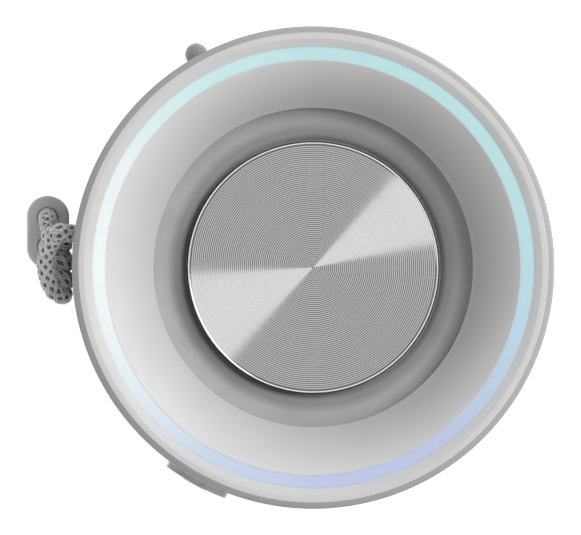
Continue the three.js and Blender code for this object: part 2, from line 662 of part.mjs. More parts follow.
function addControlStrip() {
  const side = new THREE.Group();
  side.rotation.z = STRIP_ANGLE;
  speaker.add(side);
  addPart(side, 'control_strip', controlStrip(), shellPlastic);
  for (const [name, height] of Object.entries(BUTTON_HEIGHTS)) {
    const button = outwardBar(BUTTON_RADIUS, PLUNGER_END, STRIP_OUTER_RADIUS + BUTTON_PROUD, height);
    addPart(side, name, button, keyPlastic);
  }
  const boardFace = BOARD_RADIUS + BOARD_THICKNESS;
  const pipeEnd = boardFace + LIGHT_PIPE_GAP;
  const lightPipe = outwardBar(STATUS_LIGHT_RADIUS, pipeEnd, STRIP_OUTER_RADIUS, STATUS_LIGHT_HEIGHT);
  addPart(side, 'status_light', lightPipe, lightDiffuser);
  const microphone = outwardBox(MICROPHONE_SIZE, boardFace + FIT_GAP, MICROPHONE_HEIGHT);
  addPart(side, 'microphone', microphone, plainSteel);
  addPart(side, 'usb_port', usbPort(), plainSteel);
  addPart(side, 'port_cover', portCover(), darkRubber);
  const board = switchBoard(CONTROL_BOARD_SPAN, Object.values(BUTTON_HEIGHTS));
  addPart(side, 'control_board', board, circuitBoard);
}

// ---------------------------------------------------------------- drivers
function addBaffle() {
  const near = BAFFLE_FRONT - BAFFLE_THICKNESS;
  const length = BAFFLE_SPAN[1] - BAFFLE_SPAN[0];
  const middle = (BAFFLE_SPAN[0] + BAFFLE_SPAN[1]) / 2;
  const plate = outwardBox([BAFFLE_THICKNESS, 2 * BAFFLE_HALF_WIDTH, length], near, middle);
  const far = BAFFLE_FRONT + 1;
  const driverHole = outwardBar(DRIVER_BASKET_RADIUS + FIT_GAP, near - 1, far, DRIVER_HEIGHT, SMALL_STEPS);
  const tweeterHole = outwardBar(TWEETER_MAGNET_RADIUS + FIT_GAP, near - 1, far, TWEETER_HEIGHT, SMALL_STEPS);
  addPart(speaker, 'driver_baffle', cut(plate, driverHole, tweeterHole, ...screwHoles()), innerPlastic);
}

function screwPlace(index) {
  const angle = ((index + 0.5) * 2 * HALF_TURN) / SCREW_COUNT;
  return [SCREW_CIRCLE_RADIUS * Math.cos(angle), DRIVER_HEIGHT + SCREW_CIRCLE_RADIUS * Math.sin(angle)];
}

function screwHoles() {
  const holes = [];
  for (let i = 0; i < SCREW_COUNT; i += 1) {
    const [side, height] = screwPlace(i);
    const hole = outwardBar(SCREW_SHANK_RADIUS + FIT_GAP, 0, BAFFLE_FRONT * 2, height);
    hole.translate(0, side, 0);
    holes.push(hole);
  }
  return holes;
}

// Turned pieces of the drivers are drawn with their axis on Z, then laid down along +X.
function layDown(geometry, height) {
  geometry.rotateY(HALF_TURN / 2);
  geometry.translate(0, 0, height);
  return geometry;
}

// Half-section of a low dome: a short straight edge, then a shoulder and a crown.
function crowned(radius, back, { edge, shoulder, crown, shoulderShare }) {
  return [
    [0, back],
    [radius, back],
    [radius, back + edge],
    [radius * shoulderShare, back + shoulder],
    [0, back + crown],
  ];
}

function addDriver() {
  const back = BAFFLE_FRONT + FIT_GAP;
  const front = back + DRIVER_FLANGE_THICKNESS;
  const floor = front - DRIVER_BASKET_DEPTH;
  const throat = COIL_OUTER_RADIUS + 2 * FIT_GAP;
  const waist = BAFFLE_FRONT - BASKET_WAIST_DEPTH;
  const neck = throat + BASKET_NECK_WIDTH;
  const floorFront = floor + BASKET_FLOOR_THICKNESS;
  const basketOutline = [
    [DRIVER_BORE_RADIUS, front],
    [DRIVER_FLANGE_RADIUS, front],
    [DRIVER_FLANGE_RADIUS, back],
    [DRIVER_BASKET_RADIUS, back],
    [DRIVER_BASKET_RADIUS, waist],
    [neck, floorFront],
    [neck, floor],
    [throat, floor],
    [throat, floorFront],
    [neck - BASKET_WALL, floorFront],
    [DRIVER_BORE_RADIUS, waist],
  ];
  const basket = layDown(turned(basketOutline, SMALL_STEPS), DRIVER_HEIGHT);
  addPart(speaker, 'driver_basket', cut(basket, ...screwHoles()), plainSteel);

  const magnetFront = floor - FIT_GAP;
  const magnetBack = magnetFront - MAGNET_LENGTH;
  const magnet = turnedRing(throat, MAGNET_RADIUS, magnetBack, magnetFront, SMALL_STEPS);
  addPart(speaker, 'driver_magnet', layDown(magnet, DRIVER_HEIGHT), magnetFerrite);

  const yokeFront = magnetBack - FIT_GAP;
  const yokeOutline = [
    [0, yokeFront - YOKE_THICKNESS],
    [MAGNET_RADIUS - YOKE_MARGIN, yokeFront - YOKE_THICKNESS],
    [MAGNET_RADIUS - YOKE_MARGIN, yokeFront],
    [POLE_RADIUS, yokeFront],
    [POLE_RADIUS, floor + POLE_PROUD],
    [0, floor + POLE_PROUD],
  ];
  addPart(speaker, 'driver_yoke', layDown(turned(yokeOutline, SMALL_STEPS), DRIVER_HEIGHT), plainSteel);

  const coilFront = floor + COIL_REACH_FRONT;
  const coilBack = floor - COIL_REACH_BACK;
  const coilInner = COIL_OUTER_RADIUS - COIL_WALL;
  const coil = turnedRing(coilInner, COIL_OUTER_RADIUS, coilBack, coilFront, SMALL_STEPS);
  addPart(speaker, 'driver_coil', layDown(coil, DRIVER_HEIGHT), copperWire);

  const coneBack = coilFront - CONE_THICKNESS;
  const coneFront = front - CONE_SET_BACK;
  const coneInner = COIL_OUTER_RADIUS + FIT_GAP;
  const coneOutline = [
    [coneInner, coneBack],
    [coneInner + CONE_THICKNESS, coneBack],
    [CONE_OUTER_RADIUS, coneFront - CONE_THICKNESS],
    [CONE_OUTER_RADIUS, coneFront],
    [coneInner, coneBack + CONE_THICKNESS],
  ];
  addPart(speaker, 'driver_cone', layDown(turned(coneOutline, SMALL_STEPS), DRIVER_HEIGHT), coneFabric);

  const rollInner = CONE_OUTER_RADIUS + FIT_GAP;
  const rollOuter = DRIVER_BORE_RADIUS - FIT_GAP;
  const rollOutline = [
    [rollInner, coneFront - CONE_THICKNESS],
    [rollOuter, coneFront - CONE_THICKNESS],
    [rollOuter, coneFront],
    [(rollInner + rollOuter) / 2, coneFront + CONE_ROLL_RISE],
    [rollInner, coneFront],
  ];
  addPart(speaker, 'driver_surround', layDown(turned(rollOutline, SMALL_STEPS), DRIVER_HEIGHT), darkRubber);

  const capBack = coilFront + FIT_GAP;
  const dustCap = turned(crowned(COIL_OUTER_RADIUS, capBack, DUST_CAP), SMALL_STEPS);
  addPart(speaker, 'driver_dust_cap', layDown(dustCap, DRIVER_HEIGHT), coneFabric);

  const headNear = front + FIT_GAP;
  for (let i = 0; i < SCREW_COUNT; i += 1) {
    const [side, height] = screwPlace(i);
    const outline = [
      [0, BAFFLE_FRONT - BAFFLE_THICKNESS],
      [SCREW_SHANK_RADIUS, BAFFLE_FRONT - BAFFLE_THICKNESS],
      [SCREW_SHANK_RADIUS, headNear],
      [SCREW_HEAD_RADIUS, headNear],
      [SCREW_HEAD_RADIUS, headNear + SCREW_HEAD_EDGE],
      [0, headNear + SCREW_HEAD_CROWN],
    ];
    const screw = layDown(turned(outline, HOLE_STEPS), height);
    screw.translate(0, side, 0);
    addPart(speaker, `driver_screw_${i + 1}`, screw, plainSteel);
  }
}

function addTweeter() {
  const back = BAFFLE_FRONT + FIT_GAP;
  const front = back + DRIVER_FLANGE_THICKNESS;
  const bore = TWEETER_DOME_RADIUS + FIT_GAP;
  const plate = turnedRing(bore, TWEETER_PLATE_RADIUS, back, front, SMALL_STEPS);
  addPart(speaker, 'tweeter_plate', layDown(plate, TWEETER_HEIGHT), innerPlastic);

  const magnetFront = back - 2 * FIT_GAP;
  const magnetBack = magnetFront - TWEETER_MAGNET_LENGTH;
  const magnet = turnedDisc(TWEETER_MAGNET_RADIUS, magnetBack, magnetFront, SMALL_STEPS);
  addPart(speaker, 'tweeter_magnet', layDown(magnet, TWEETER_HEIGHT), magnetFerrite);

  const domeBack = back + FIT_GAP;
  const dome = turned(crowned(TWEETER_DOME_RADIUS, domeBack, TWEETER_DOME), SMALL_STEPS);
  addPart(speaker, 'tweeter_dome', layDown(dome, TWEETER_HEIGHT), coneFabric);
}

// ---------------------------------------------------------------- battery and electronics
// A round shelf across the barrel, with vents that let air reach the bottom radiator.
function bulkhead(low) {
  const shelf = turnedDisc(INSIDE_RADIUS, low, low + BULKHEAD_THICKNESS);
  const vents = VENT_ANGLES.map((degrees) => {
    const vent = turnedDisc(VENT_RADIUS, low - 1, low + BULKHEAD_THICKNESS + 1, HOLE_STEPS);
    const turn = THREE.MathUtils.degToRad(degrees);
    vent.translate(VENT_CIRCLE_RADIUS * Math.cos(turn), VENT_CIRCLE_RADIUS * Math.sin(turn), 0);
    return vent;
  });
  return cut(shelf, ...vents);
}

function addPower() {
  addPart(speaker, 'lower_bulkhead', bulkhead(LOWER_BULKHEAD_HEIGHT), innerPlastic);
  addPart(speaker, 'upper_bulkhead', bulkhead(UPPER_BULKHEAD_HEIGHT), innerPlastic);
  const low = LOWER_BULKHEAD_HEIGHT + BULKHEAD_THICKNESS + FIT_GAP;
  for (const [name, side] of [['battery_cell_left', 1], ['battery_cell_right', -1]]) {
    const cell = turnedDisc(CELL_RADIUS, low, low + CELL_LENGTH, SMALL_STEPS);
    cell.translate(CELL_OFFSET, (side * CELL_SPACING) / 2, 0);
    addPart(speaker, name, cell, cellWrap);
  }
  const middle = low + CELL_LENGTH / 2;
  addPart(speaker, 'main_board', outwardBox(MAIN_BOARD, MAIN_BOARD_FACE, middle), circuitBoard);
  const shieldNear = MAIN_BOARD_FACE + MAIN_BOARD[0] + FIT_GAP;
  addPart(speaker, 'amplifier_shield', outwardBox(SHIELD_SIZE, shieldNear, middle), plainSteel);
}

// ---------------------------------------------------------------- lanyard
function grommetRadius() {
  return CORD_DIAMETER / 2 + FIT_GAP + GROMMET_WALL;
}

function tubeAlong(route, steps) {
  const path = new THREE.CatmullRomCurve3(route.map((point) => new THREE.Vector3(...point)));
  const section = new THREE.Shape();
  for (let i = 0; i < CORD_SIDES; i += 1) {
    const angle = (i * 2 * HALF_TURN) / CORD_SIDES;
    const x = (CORD_DIAMETER / 2) * Math.cos(angle);
    const y = (CORD_DIAMETER / 2) * Math.sin(angle);
    if (i === 0) section.moveTo(x, y);
    else section.lineTo(x, y);
  }
  section.closePath();
  return new THREE.ExtrudeGeometry(section, { steps, extrudePath: path, bevelEnabled: false });
}

function addGrommet() {
  const bore = CORD_DIAMETER / 2 + FIT_GAP;
  const ring = turnedRing(bore, grommetRadius(), BARREL_RADIUS + FIT_GAP, BODY_RADIUS, HOLE_STEPS);
  const grommet = layDown(ring, GROMMET_HEIGHT);
  const side = new THREE.Group();
  side.rotation.z = GROMMET_ANGLE;
  speaker.add(side);
  addPart(side, 'lanyard_grommet', grommet, plainSteel);
}

// The sliding bead: a stadium in plan, with one hole for each strand.
function bead() {
  const [width, length, height] = BEAD_SIZE;
  const radius = width / 2;
  const straight = length / 2 - radius;
  const holeRadius = CORD_DIAMETER / 2 + BEAD_HOLE_PLAY;
  const outline = new THREE.Shape();
  outline.absarc(0, straight, radius, 0, HALF_TURN, false);
  outline.absarc(0, -straight, radius, HALF_TURN, 2 * HALF_TURN, false);
  outline.closePath();
  for (const side of [-1, 1]) {
    const hole = new THREE.Path();
    hole.absarc(0, (side * BEAD_HOLE_SPACING) / 2, holeRadius, 0, 2 * HALF_TURN, true);
    outline.holes.push(hole);
  }
  const block = new THREE.ExtrudeGeometry(outline, { depth: height, bevelEnabled: false, curveSegments: 8 });
  block.translate(0, 0, -height / 2);
  return block;
}

function addLanyard() {
  addGrommet();
  addPart(speaker, 'lanyard_cord_exit', tubeAlong(EXIT_ROUTE, 3), cordFabric);
  const knot = new THREE.SphereGeometry(1, 16, 10);
  knot.scale(...KNOT_SEMI_AXES);
  addPart(speaker, 'lanyard_knot', knot, cordFabric).position.set(...KNOT_CENTRE);
  addPart(speaker, 'lanyard_bead', bead(), keyPlastic).position.set(...BEAD_CENTRE);
  addPart(speaker, 'lanyard_cord', tubeAlong(LOOP_ROUTE, CORD_STEPS), cordFabric);
}

// ---------------------------------------------------------------- assembly
addTopCap();
addLightRing();
addTopDish();
addTopRadiator();
addBottomCap();
addBottomRadiator();
addBarrel();
addSleeve();
addVolumeKeys();
addControlStrip();
addBaffle();
addDriver();
addTweeter();
addPower();
addLanyard();

export default speaker;
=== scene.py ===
import json
import math

import bmesh
import bpy
from mathutils import Matrix, Vector


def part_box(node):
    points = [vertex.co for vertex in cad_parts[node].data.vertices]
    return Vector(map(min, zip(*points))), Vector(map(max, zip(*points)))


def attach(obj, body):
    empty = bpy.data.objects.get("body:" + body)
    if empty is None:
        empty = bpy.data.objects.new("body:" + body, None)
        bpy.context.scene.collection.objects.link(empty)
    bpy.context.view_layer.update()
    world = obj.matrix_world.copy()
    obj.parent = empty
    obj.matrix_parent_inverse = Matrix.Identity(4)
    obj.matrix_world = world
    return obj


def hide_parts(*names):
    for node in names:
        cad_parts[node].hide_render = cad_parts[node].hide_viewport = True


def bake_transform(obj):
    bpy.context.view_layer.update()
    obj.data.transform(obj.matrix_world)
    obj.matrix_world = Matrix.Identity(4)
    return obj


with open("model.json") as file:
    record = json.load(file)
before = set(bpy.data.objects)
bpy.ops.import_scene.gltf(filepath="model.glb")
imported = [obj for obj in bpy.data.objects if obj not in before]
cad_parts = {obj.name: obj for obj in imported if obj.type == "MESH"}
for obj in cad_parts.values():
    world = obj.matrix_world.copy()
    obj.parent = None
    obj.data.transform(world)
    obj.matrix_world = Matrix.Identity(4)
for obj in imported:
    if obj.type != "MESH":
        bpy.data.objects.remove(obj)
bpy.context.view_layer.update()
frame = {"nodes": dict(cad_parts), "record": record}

# Sizes are in millimetres in this file's own tables and turned into metres by MM.
MM = 0.001
nodes = frame["nodes"]
node_slot = {s["node"]: s["material_slot"] for s in frame["record"]["subparts"]}


def span(node, axis):
    """Lowest and highest coordinate of a CAD node along an axis, in millimetres."""
    low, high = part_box(node)
    return low[axis] / MM, high[axis] / MM


def centre_height(node):
    """Height of a CAD node's middle, in millimetres."""
    low, high = span(node, 2)
    return (low + high) / 2


def placed(name, data):
    """A new object with this mesh or camera, in the scene."""
    obj = bpy.data.objects.new(name, data)
    bpy.context.scene.collection.objects.link(obj)
    return obj


# ---------------- sizes taken from the frame
BODY_R = span("top_cap", 0)[1]
TOP = span("top_cap", 2)[1]
CAP_LOW = span("top_cap", 2)[0]
SLEEVE_R = span("fabric_sleeve", 0)[1]
SLEEVE_LOW, SLEEVE_HIGH = span("fabric_sleeve", 2)
LIGHT_R = span("light_ring", 0)[1] + 0.15
LIGHT_LOW, LIGHT_TOP = span("light_ring", 2)
DISH_R = span("top_dish", 0)[1]
DISH_LOW = span("top_dish", 2)[0]
DISC_R = span("top_radiator", 0)[1]
DISC_LOW, DISC_TOP = span("top_radiator", 2)
BOTTOM_CAP_LOW, BOTTOM_CAP_HIGH = span("bottom_cap", 2)
FOOT_R = span("foot_ring", 0)[1]
FOOT_HIGH = span("foot_ring", 2)[1]
BOTTOM_DISC_LOW, BOTTOM_DISC_TOP = span("bottom_radiator", 2)
CAP_BORE = 35.0
DISH_EVEN_R = 31.0  # from here out the dish has no painted shade
DISH_LIP_DEPTH = 6.6  # below the top
DISH_BACK_DEPTH = 6.0
ROLL_INNER_R = DISC_R + 0.35
ROLL_OUTER_R = 24.2
CREASE_REACH_R = 22.2  # from here out the surround has no painted shade
TOP_CLAMP = TOP - 7.7
BOTTOM_CLAMP = BOTTOM_CAP_LOW + 5.5
RECESS_MOUTH_R = 29.2  # of the bottom end, where it flares out
FOOT_SLOT = (30.3, 33.7)  # radii of the slot that the foot ring sits in
FOOT_SLOT_DEPTH = 1.25
FOOT_INNER_R = 30.5
STRIP_BACK_R = 35.05
STRIP_R = 37.55
STRIP_WIDTH = 10.2
BUTTON_HOLE_R = 2.42
BUTTON_PROUD = 0.28  # beyond the strip's face
KEY_R = 1.75
KEY_AXIS_R = 36.92
KEY_ANGLE = math.radians(118.7)
STRIP_ANGLE = math.radians(241.3)
GROMMET_ANGLE = math.radians(172)
STEM_NEAR = 31.0  # where the keys and buttons end, inside the barrel
CUT_NEAR, CUT_FAR = 30, 40  # reach of the solids that cut the side
STEPS = 256  # round a whole turn of a lathed piece
SHARP_ANGLE = 32  # degrees; edges that turn more than this stay sharp


# ---------------- camera
CAMERA_DISTANCE = 2.3
PICTURE_WIDTH = 87.8 * MM
PICTURE_SHIFT = -3.44 * MM


def add_camera():
    """Straight down on the top end, from far enough away that the barrel hides behind its rim."""
    data = bpy.data.cameras.new("camera")
    data.sensor_width = 36
    data.lens = data.sensor_width * CAMERA_DISTANCE / PICTURE_WIDTH
    data.clip_end = 20
    camera = placed("camera", data)
    camera.location = (PICTURE_SHIFT, 0, TOP * MM + CAMERA_DISTANCE)
    bpy.context.scene.camera = camera


add_camera()


# ---------------- node material helpers
def srgb(*levels):
    """Linear colour from display levels 0 to 255."""
    channels = [v / 255 for v in levels]
    linear = [c / 12.92 if c <= 0.04045 else ((c + 0.055) / 1.055) ** 2.4 for c in channels]
    return (*linear, 1.0)


def grey(level):
    """Neutral colour of a linear level from 0 to 1."""
    return (level, level, level, 1.0)


def fill(node, values):
    """Sets the values of a node's own sockets."""
    for key, value in values.items():
        node.inputs[key].default_value = value


class Paint:
    """A material with its Principled shader and short calls for adding and joining nodes."""

    def __init__(self, name, roughness=0.5, metallic=0.0):
        self.material = bpy.data.materials.new(name)
        self.material.use_nodes = True
        self.tree = self.material.node_tree
        self.shader = self.tree.nodes["Principled BSDF"]
        fill(self.shader, {"Roughness": roughness, "Metallic": metallic})
        self.place = self.add("ShaderNodeTexCoord").outputs["Object"]

    def add(self, kind, **settings):
        node = self.tree.nodes.new(kind)
        for key, value in settings.items():
            setattr(node, key, value)
        return node

    def join(self, source, target):
        self.tree.links.new(source, target)

    def math(self, operation, a, b=None):
        node = self.add("ShaderNodeMath", operation=operation)
        for socket, value in zip(node.inputs, (a, b)):
            if value is None:
                continue
            if isinstance(value, (int, float)):
                socket.default_value = value
            else:
                self.join(value, socket)
        return node.outputs[0]

    def noise(self, scale, detail, vector=None):
        """Scale is in waves a metre."""
        node = self.add("ShaderNodeTexNoise")
        fill(node, {"Scale": scale, "Detail": detail})
        self.join(vector or self.place, node.inputs["Vector"])
        return node.outputs["Fac"]

    def ramp(self, fac, stops):
        node = self.add("ShaderNodeValToRGB")
        node.color_ramp.elements[0].position = stops[0][0]
        node.color_ramp.elements[0].color = stops[0][1]
        node.color_ramp.elements[1].position = stops[-1][0]
        node.color_ramp.elements[1].color = stops[-1][1]
        for position, color in stops[1:-1]:
            node.color_ramp.elements.new(position).color = color
        self.join(fac, node.inputs["Fac"])
        return node.outputs["Color"]

    def range(self, value, low, high, new_low, new_high):
        node = self.add("ShaderNodeMapRange")
        fill(node, {"From Min": low, "From Max": high, "To Min": new_low, "To Max": new_high})
        self.join(value, node.inputs["Value"])
        return node.outputs["Result"]

    def bump(self, height, strength, distance):
        node = self.add("ShaderNodeBump")
        fill(node, {"Strength": strength, "Distance": distance})
        self.join(height, node.inputs["Height"])
        self.join(node.outputs["Normal"], self.shader.inputs["Normal"])

    def color(self, source):
        self.join(source, self.shader.inputs["Base Color"])

    def roughness(self, source):
        self.join(source, self.shader.inputs["Roughness"])

    def sheen(self, weight, roughness):
        fill(self.shader, {"Sheen Weight": weight, "Sheen Roughness": roughness})

    def cylindrical(self):
        """Angle about the barrel's axis, distance from it and height above the foot."""
        split = self.add("ShaderNodeSeparateXYZ")
        self.join(self.place, split.inputs[0])
        x, y, z = split.outputs
        angle = self.math("ARCTAN2", y, x)
        squares = self.math("ADD", self.math("MULTIPLY", x, x), self.math("MULTIPLY", y, y))
        radius = self.math("SQRT", squares)
        return angle, radius, z


# ---------------- materials
# Bump depths are in metres.
CLOUD_SCALE = 55
GRAIN_SCALE, GRAIN_DEPTH = 9000, 0.00002
PEBBLE_SCALE, PEBBLE_DEPTH = 5200, 0.00003


def moulded_plastic(name, level, roughness, grain=0.25):
    """Satin moulding: a fine spark-eroded grain and faint cloudiness in tone and gloss."""
    paint = Paint(name, roughness)
    cloud = paint.noise(CLOUD_SCALE, 3)
    paint.color(paint.ramp(cloud, [(0.3, grey(level * 0.97)), (0.7, grey(level * 1.03))]))
    paint.roughness(paint.range(cloud, 0.3, 0.7, roughness - 0.04, roughness + 0.04))
    paint.bump(paint.noise(GRAIN_SCALE, 2), grain, GRAIN_DEPTH)
    return paint.material


def dish_plastic():
    """The shell's plastic, with painted shade darkening it towards the dish's inner lip."""
    paint = Paint("dish_plastic", 0.5)
    _, radius, _ = paint.cylindrical()
    cloud = paint.range(paint.noise(CLOUD_SCALE, 3), 0.3, 0.7, 0.97, 1.03)
    # painted shade: the colour darkens from DISH_EVEN_R in to the lip, where the dish's recess is shaded
    depth = paint.range(radius, ROLL_OUTER_R * MM, DISH_EVEN_R * MM, 0.5, 0.665)
    paint.color(paint.math("MULTIPLY", depth, cloud))
    paint.bump(paint.noise(GRAIN_SCALE, 2), 0.25, GRAIN_DEPTH)
    return paint.material


def dark_rubber():
    """Moulded rubber with a dusty, finely pebbled skin."""
    level = 0.35
    paint = Paint("dark_rubber", 0.62)
    dust = paint.noise(140, 4)
    paint.color(paint.ramp(dust, [(0.3, grey(level * 0.92)), (0.75, grey(level * 1.08))]))
    paint.sheen(0.15, 0.5)
    paint.bump(paint.noise(PEBBLE_SCALE, 3), 0.35, PEBBLE_DEPTH)
    return paint.material


def roll_rubber():
    """The surrounds' rubber: dull, with painted shade by radius, darkest as a painted shadow in the crease
    beside the disc.
    """
    paint = Paint("roll_rubber", 0.66)
    _, radius, _ = paint.cylindrical()
    dust = paint.range(paint.noise(140, 4), 0.3, 0.75, 0.93, 1.07)
    # painted shade by radius: nearly black in the crease by the disc as a painted shadow, then bands
    # standing in for the roll's shading
    crease = paint.ramp(paint.range(radius, DISC_R * MM, CREASE_REACH_R * MM, 0, 1), [
        (0.0, grey(0.02)), (0.05, grey(0.03)), (0.08, grey(0.34)), (0.3, grey(0.295)),
        (0.58, grey(0.265)), (0.86, grey(0.345)), (1.0, grey(0.38)),
    ])
    paint.color(paint.math("MULTIPLY", crease, dust))
    paint.sheen(0.12, 0.5)
    paint.bump(paint.noise(PEBBLE_SCALE, 3), 0.35, PEBBLE_DEPTH)
    return paint.material


# Colour of the lit ring by angle, in turns from the -X side round by -Y: white beside the
# lanyard, lavender at -Y, pale blue at +X and cyan from there round to +Y.
LIGHT_STOPS = [
    (0.00, (246, 251, 252)),
    (0.08, (232, 244, 246)),
    (0.17, (203, 216, 236)),
    (0.27, (190, 199, 231)),
    (0.36, (186, 199, 229)),
    (0.44, (187, 212, 232)),
    (0.52, (184, 223, 229)),
    (0.62, (184, 226, 228)),
    (0.75, (188, 227, 229)),
    (0.84, (206, 235, 236)),
    (0.92, (235, 246, 247)),
    (1.00, (246, 251, 252)),
]


def light_diffuser():
    """Frosted ring, lit from behind in a slow sweep of colour, with a soft falloff at its edges."""
    paint = Paint("light_diffuser", 0.35)
    angle, radius, _ = paint.cylindrical()
    turn = paint.range(angle, -math.pi, math.pi, 0, 1)
    glow = paint.ramp(turn, [(at, srgb(*levels)) for at, levels in LIGHT_STOPS])
    middle = (LIGHT_R + DISH_R) / 2 * MM
    reach = (LIGHT_R - DISH_R) / 2 * MM
    off_centre = paint.math("DIVIDE", paint.math("SUBTRACT", radius, middle), reach)
    falloff = paint.math("POWER", paint.math("ABSOLUTE", off_centre), 6)
    edge = paint.range(falloff, 0, 1, 1.0, 0.9)
    frost = paint.range(paint.noise(900, 3), 0.3, 0.7, 0.985, 1.015)
    mix = paint.add("ShaderNodeVectorMath", operation="SCALE")
    paint.join(glow, mix.inputs[0])
    paint.join(paint.math("MULTIPLY", edge, frost), mix.inputs["Scale"])
    fill(paint.shader, {"Base Color": grey(0.04), "Emission Strength": 0.92})
    paint.join(mix.outputs[0], paint.shader.inputs["Emission Color"])
    paint.bump(paint.noise(3000, 2), 0.15, 0.00002)
    return paint.material


GROOVE_PITCH = 0.3
GROOVE_DEPTH = 0.038
GROOVE_RISE = 0.4  # share of each groove that faces the centre; the rest faces out


def spun_metal():
    """Spun aluminium: the grooves are real, the fine scratches along them are not, and the darker valleys
    of the grooves are painted shade.
    """
    paint = Paint("spun_aluminium", 0.12, 1.0)
    angle, radius, _ = paint.cylindrical()
    ring = paint.add("ShaderNodeCombineXYZ")
    paint.join(paint.math("MULTIPLY", radius, 9000), ring.inputs[0])
    paint.join(paint.math("MULTIPLY", angle, 0.8), ring.inputs[1])
    lines = paint.noise(1.0, 2, ring.outputs[0])
    groove = paint.math("FRACT", paint.math("DIVIDE", radius, GROOVE_PITCH * MM))
    # painted shade: the colour darkens towards each groove's valley; the lines noise adds scratches
    depth = paint.math("ABSOLUTE", paint.math("SUBTRACT", groove, 1 - GROOVE_RISE))
    scratches_and_valley_shade = paint.math("ADD", depth, paint.math("MULTIPLY", lines, 0.25))
    paint.color(paint.ramp(scratches_and_valley_shade, [(0.1, (0.6, 0.6, 0.61, 1)), (0.34, grey(1.0))]))
    paint.roughness(paint.range(lines, 0.3, 0.7, 0.09, 0.14))
    return paint.material


WALES = 150  # columns of knit round the sleeve
COURSE = 1.25 * MM  # height of one course of knit


def knit():
    """Knitted acoustic cloth: columns of slanted stitches, with painted shade between the yarns."""
    paint = Paint("knit_fabric", 0.92)
    angle, _, height = paint.cylindrical()
    column = paint.math("MULTIPLY", angle, WALES / (2 * math.pi))
    across = paint.math("PINGPONG", column, 0.5)
    row = paint.math("DIVIDE", height, COURSE)
    slant = paint.math("ADD", row, paint.math("MULTIPLY", across, 1.4))
    stitch = paint.math("PINGPONG", slant, 0.5)
    yarn = paint.math("MULTIPLY", paint.math("SQRT", paint.math("MULTIPLY", stitch, 2)),
                      paint.math("SINE", paint.math("MULTIPLY", across, 2 * math.pi)))
    loft = paint.math("ADD", yarn, paint.math("MULTIPLY", paint.noise(2600, 3), 0.35))
    # painted shade: the colour darkens where the yarn sinks between stitches, with random tone from the
    # noise
    paint.color(paint.ramp(loft, [(0.1, grey(0.10)), (0.55, grey(0.27)), (1.0, grey(0.40))]))
    paint.sheen(0.35, 0.4)
    paint.bump(loft, 0.7, 0.00025)
    return paint.material


def cord_yarn():
    """Polyester yarn of the braided cord, with fibre streaks and a soft sheen."""
    paint = Paint("cord_fabric", 0.85)
    fibre = paint.noise(2200, 4)
    paint.color(paint.ramp(fibre, [(0.25, grey(0.66)), (0.8, grey(0.92))]))
    paint.sheen(0.3, 0.4)
    paint.bump(paint.noise(7000, 2), 0.4, 0.00004)
    return paint.material


def cord_core():
    """Filling between the yarns, dark grey as painted shade."""
    paint = Paint("cord_core", 0.95)
    paint.color(paint.ramp(paint.noise(1800, 3), [(0.3, grey(0.16)), (0.8, grey(0.30))]))
    paint.bump(paint.noise(5000, 3), 0.5, 0.00006)
    return paint.material


def plain(name, color, roughness, metallic=0.0, spread=0.08, scale=160):
    """Finish of an inner piece: one colour with faint variation in tone and gloss."""
    paint = Paint(name, roughness, metallic)
    fac = paint.noise(scale, 3)
    dark = tuple(c * (1 - spread) for c in color) + (1,)
    light = tuple(min(1, c * (1 + spread)) for c in color) + (1,)
    paint.color(paint.ramp(fac, [(0.3, dark), (0.7, light)]))
    paint.roughness(paint.range(fac, 0.3, 0.7, max(0.05, roughness - 0.05), roughness + 0.05))
    paint.bump(paint.noise(scale * 20, 2), 0.2, 0.00002)
    return paint.material


materials = {
    "shell_plastic": moulded_plastic("shell_plastic", 0.64, 0.45),
    "rim_elastomer": moulded_plastic("rim_elastomer", 0.40, 0.55),
    "dish_plastic": dish_plastic(),
    # the strip's plastic is the shell's, lightened as painted light where the barrel shades the strip's
    # end
    "strip_plastic_painted_light": moulded_plastic("strip_plastic_painted_light", 0.92, 0.45),
    # the bead's plastic is the keys', lightened as painted light where the body shades the lanyard
    "bead_plastic_painted_light": moulded_plastic("bead_plastic_painted_light", 0.76, 0.42),
    "light_diffuser": light_diffuser(),
    "spun_aluminium": spun_metal(),
    "dark_rubber": dark_rubber(),
    "roll_rubber": roll_rubber(),
    "knit_fabric": knit(),
    "key_plastic": moulded_plastic("key_plastic", 0.34, 0.3, 0.3),
    "inner_plastic": plain("inner_plastic", (0.03, 0.03, 0.03), 0.55),
    "circuit_board": plain("circuit_board", (0.015, 0.12, 0.05), 0.4, 0.0, 0.3, 600),
    "plain_steel": plain("plain_steel", (0.55, 0.55, 0.56), 0.3, 1.0),
    "magnet_ferrite": plain("magnet_ferrite", (0.05, 0.05, 0.05), 0.7, 0.0, 0.3, 900),
    "cone_fabric": plain("cone_fabric", (0.02, 0.02, 0.02), 0.8, 0.0, 0.4, 1200),
    "coil_copper": plain("coil_copper", (0.60, 0.25, 0.10), 0.3, 1.0),
    "cell_wrap": plain("cell_wrap", (0.05, 0.16, 0.40), 0.4),
    "cord_fabric": cord_yarn(),
    "cord_core": cord_core(),
}

for name, cad in nodes.items():
    cad.data.materials.clear()
    cad.data.materials.append(materials[node_slot[name]])


# ---------------- mesh helpers
def mesh_of(name, verts, faces):
    """A mesh from millimetre points."""
    mesh = bpy.data.meshes.new(name)
    mesh.from_pydata([tuple(c * MM for c in v) for v in verts], [], faces)
    return mesh


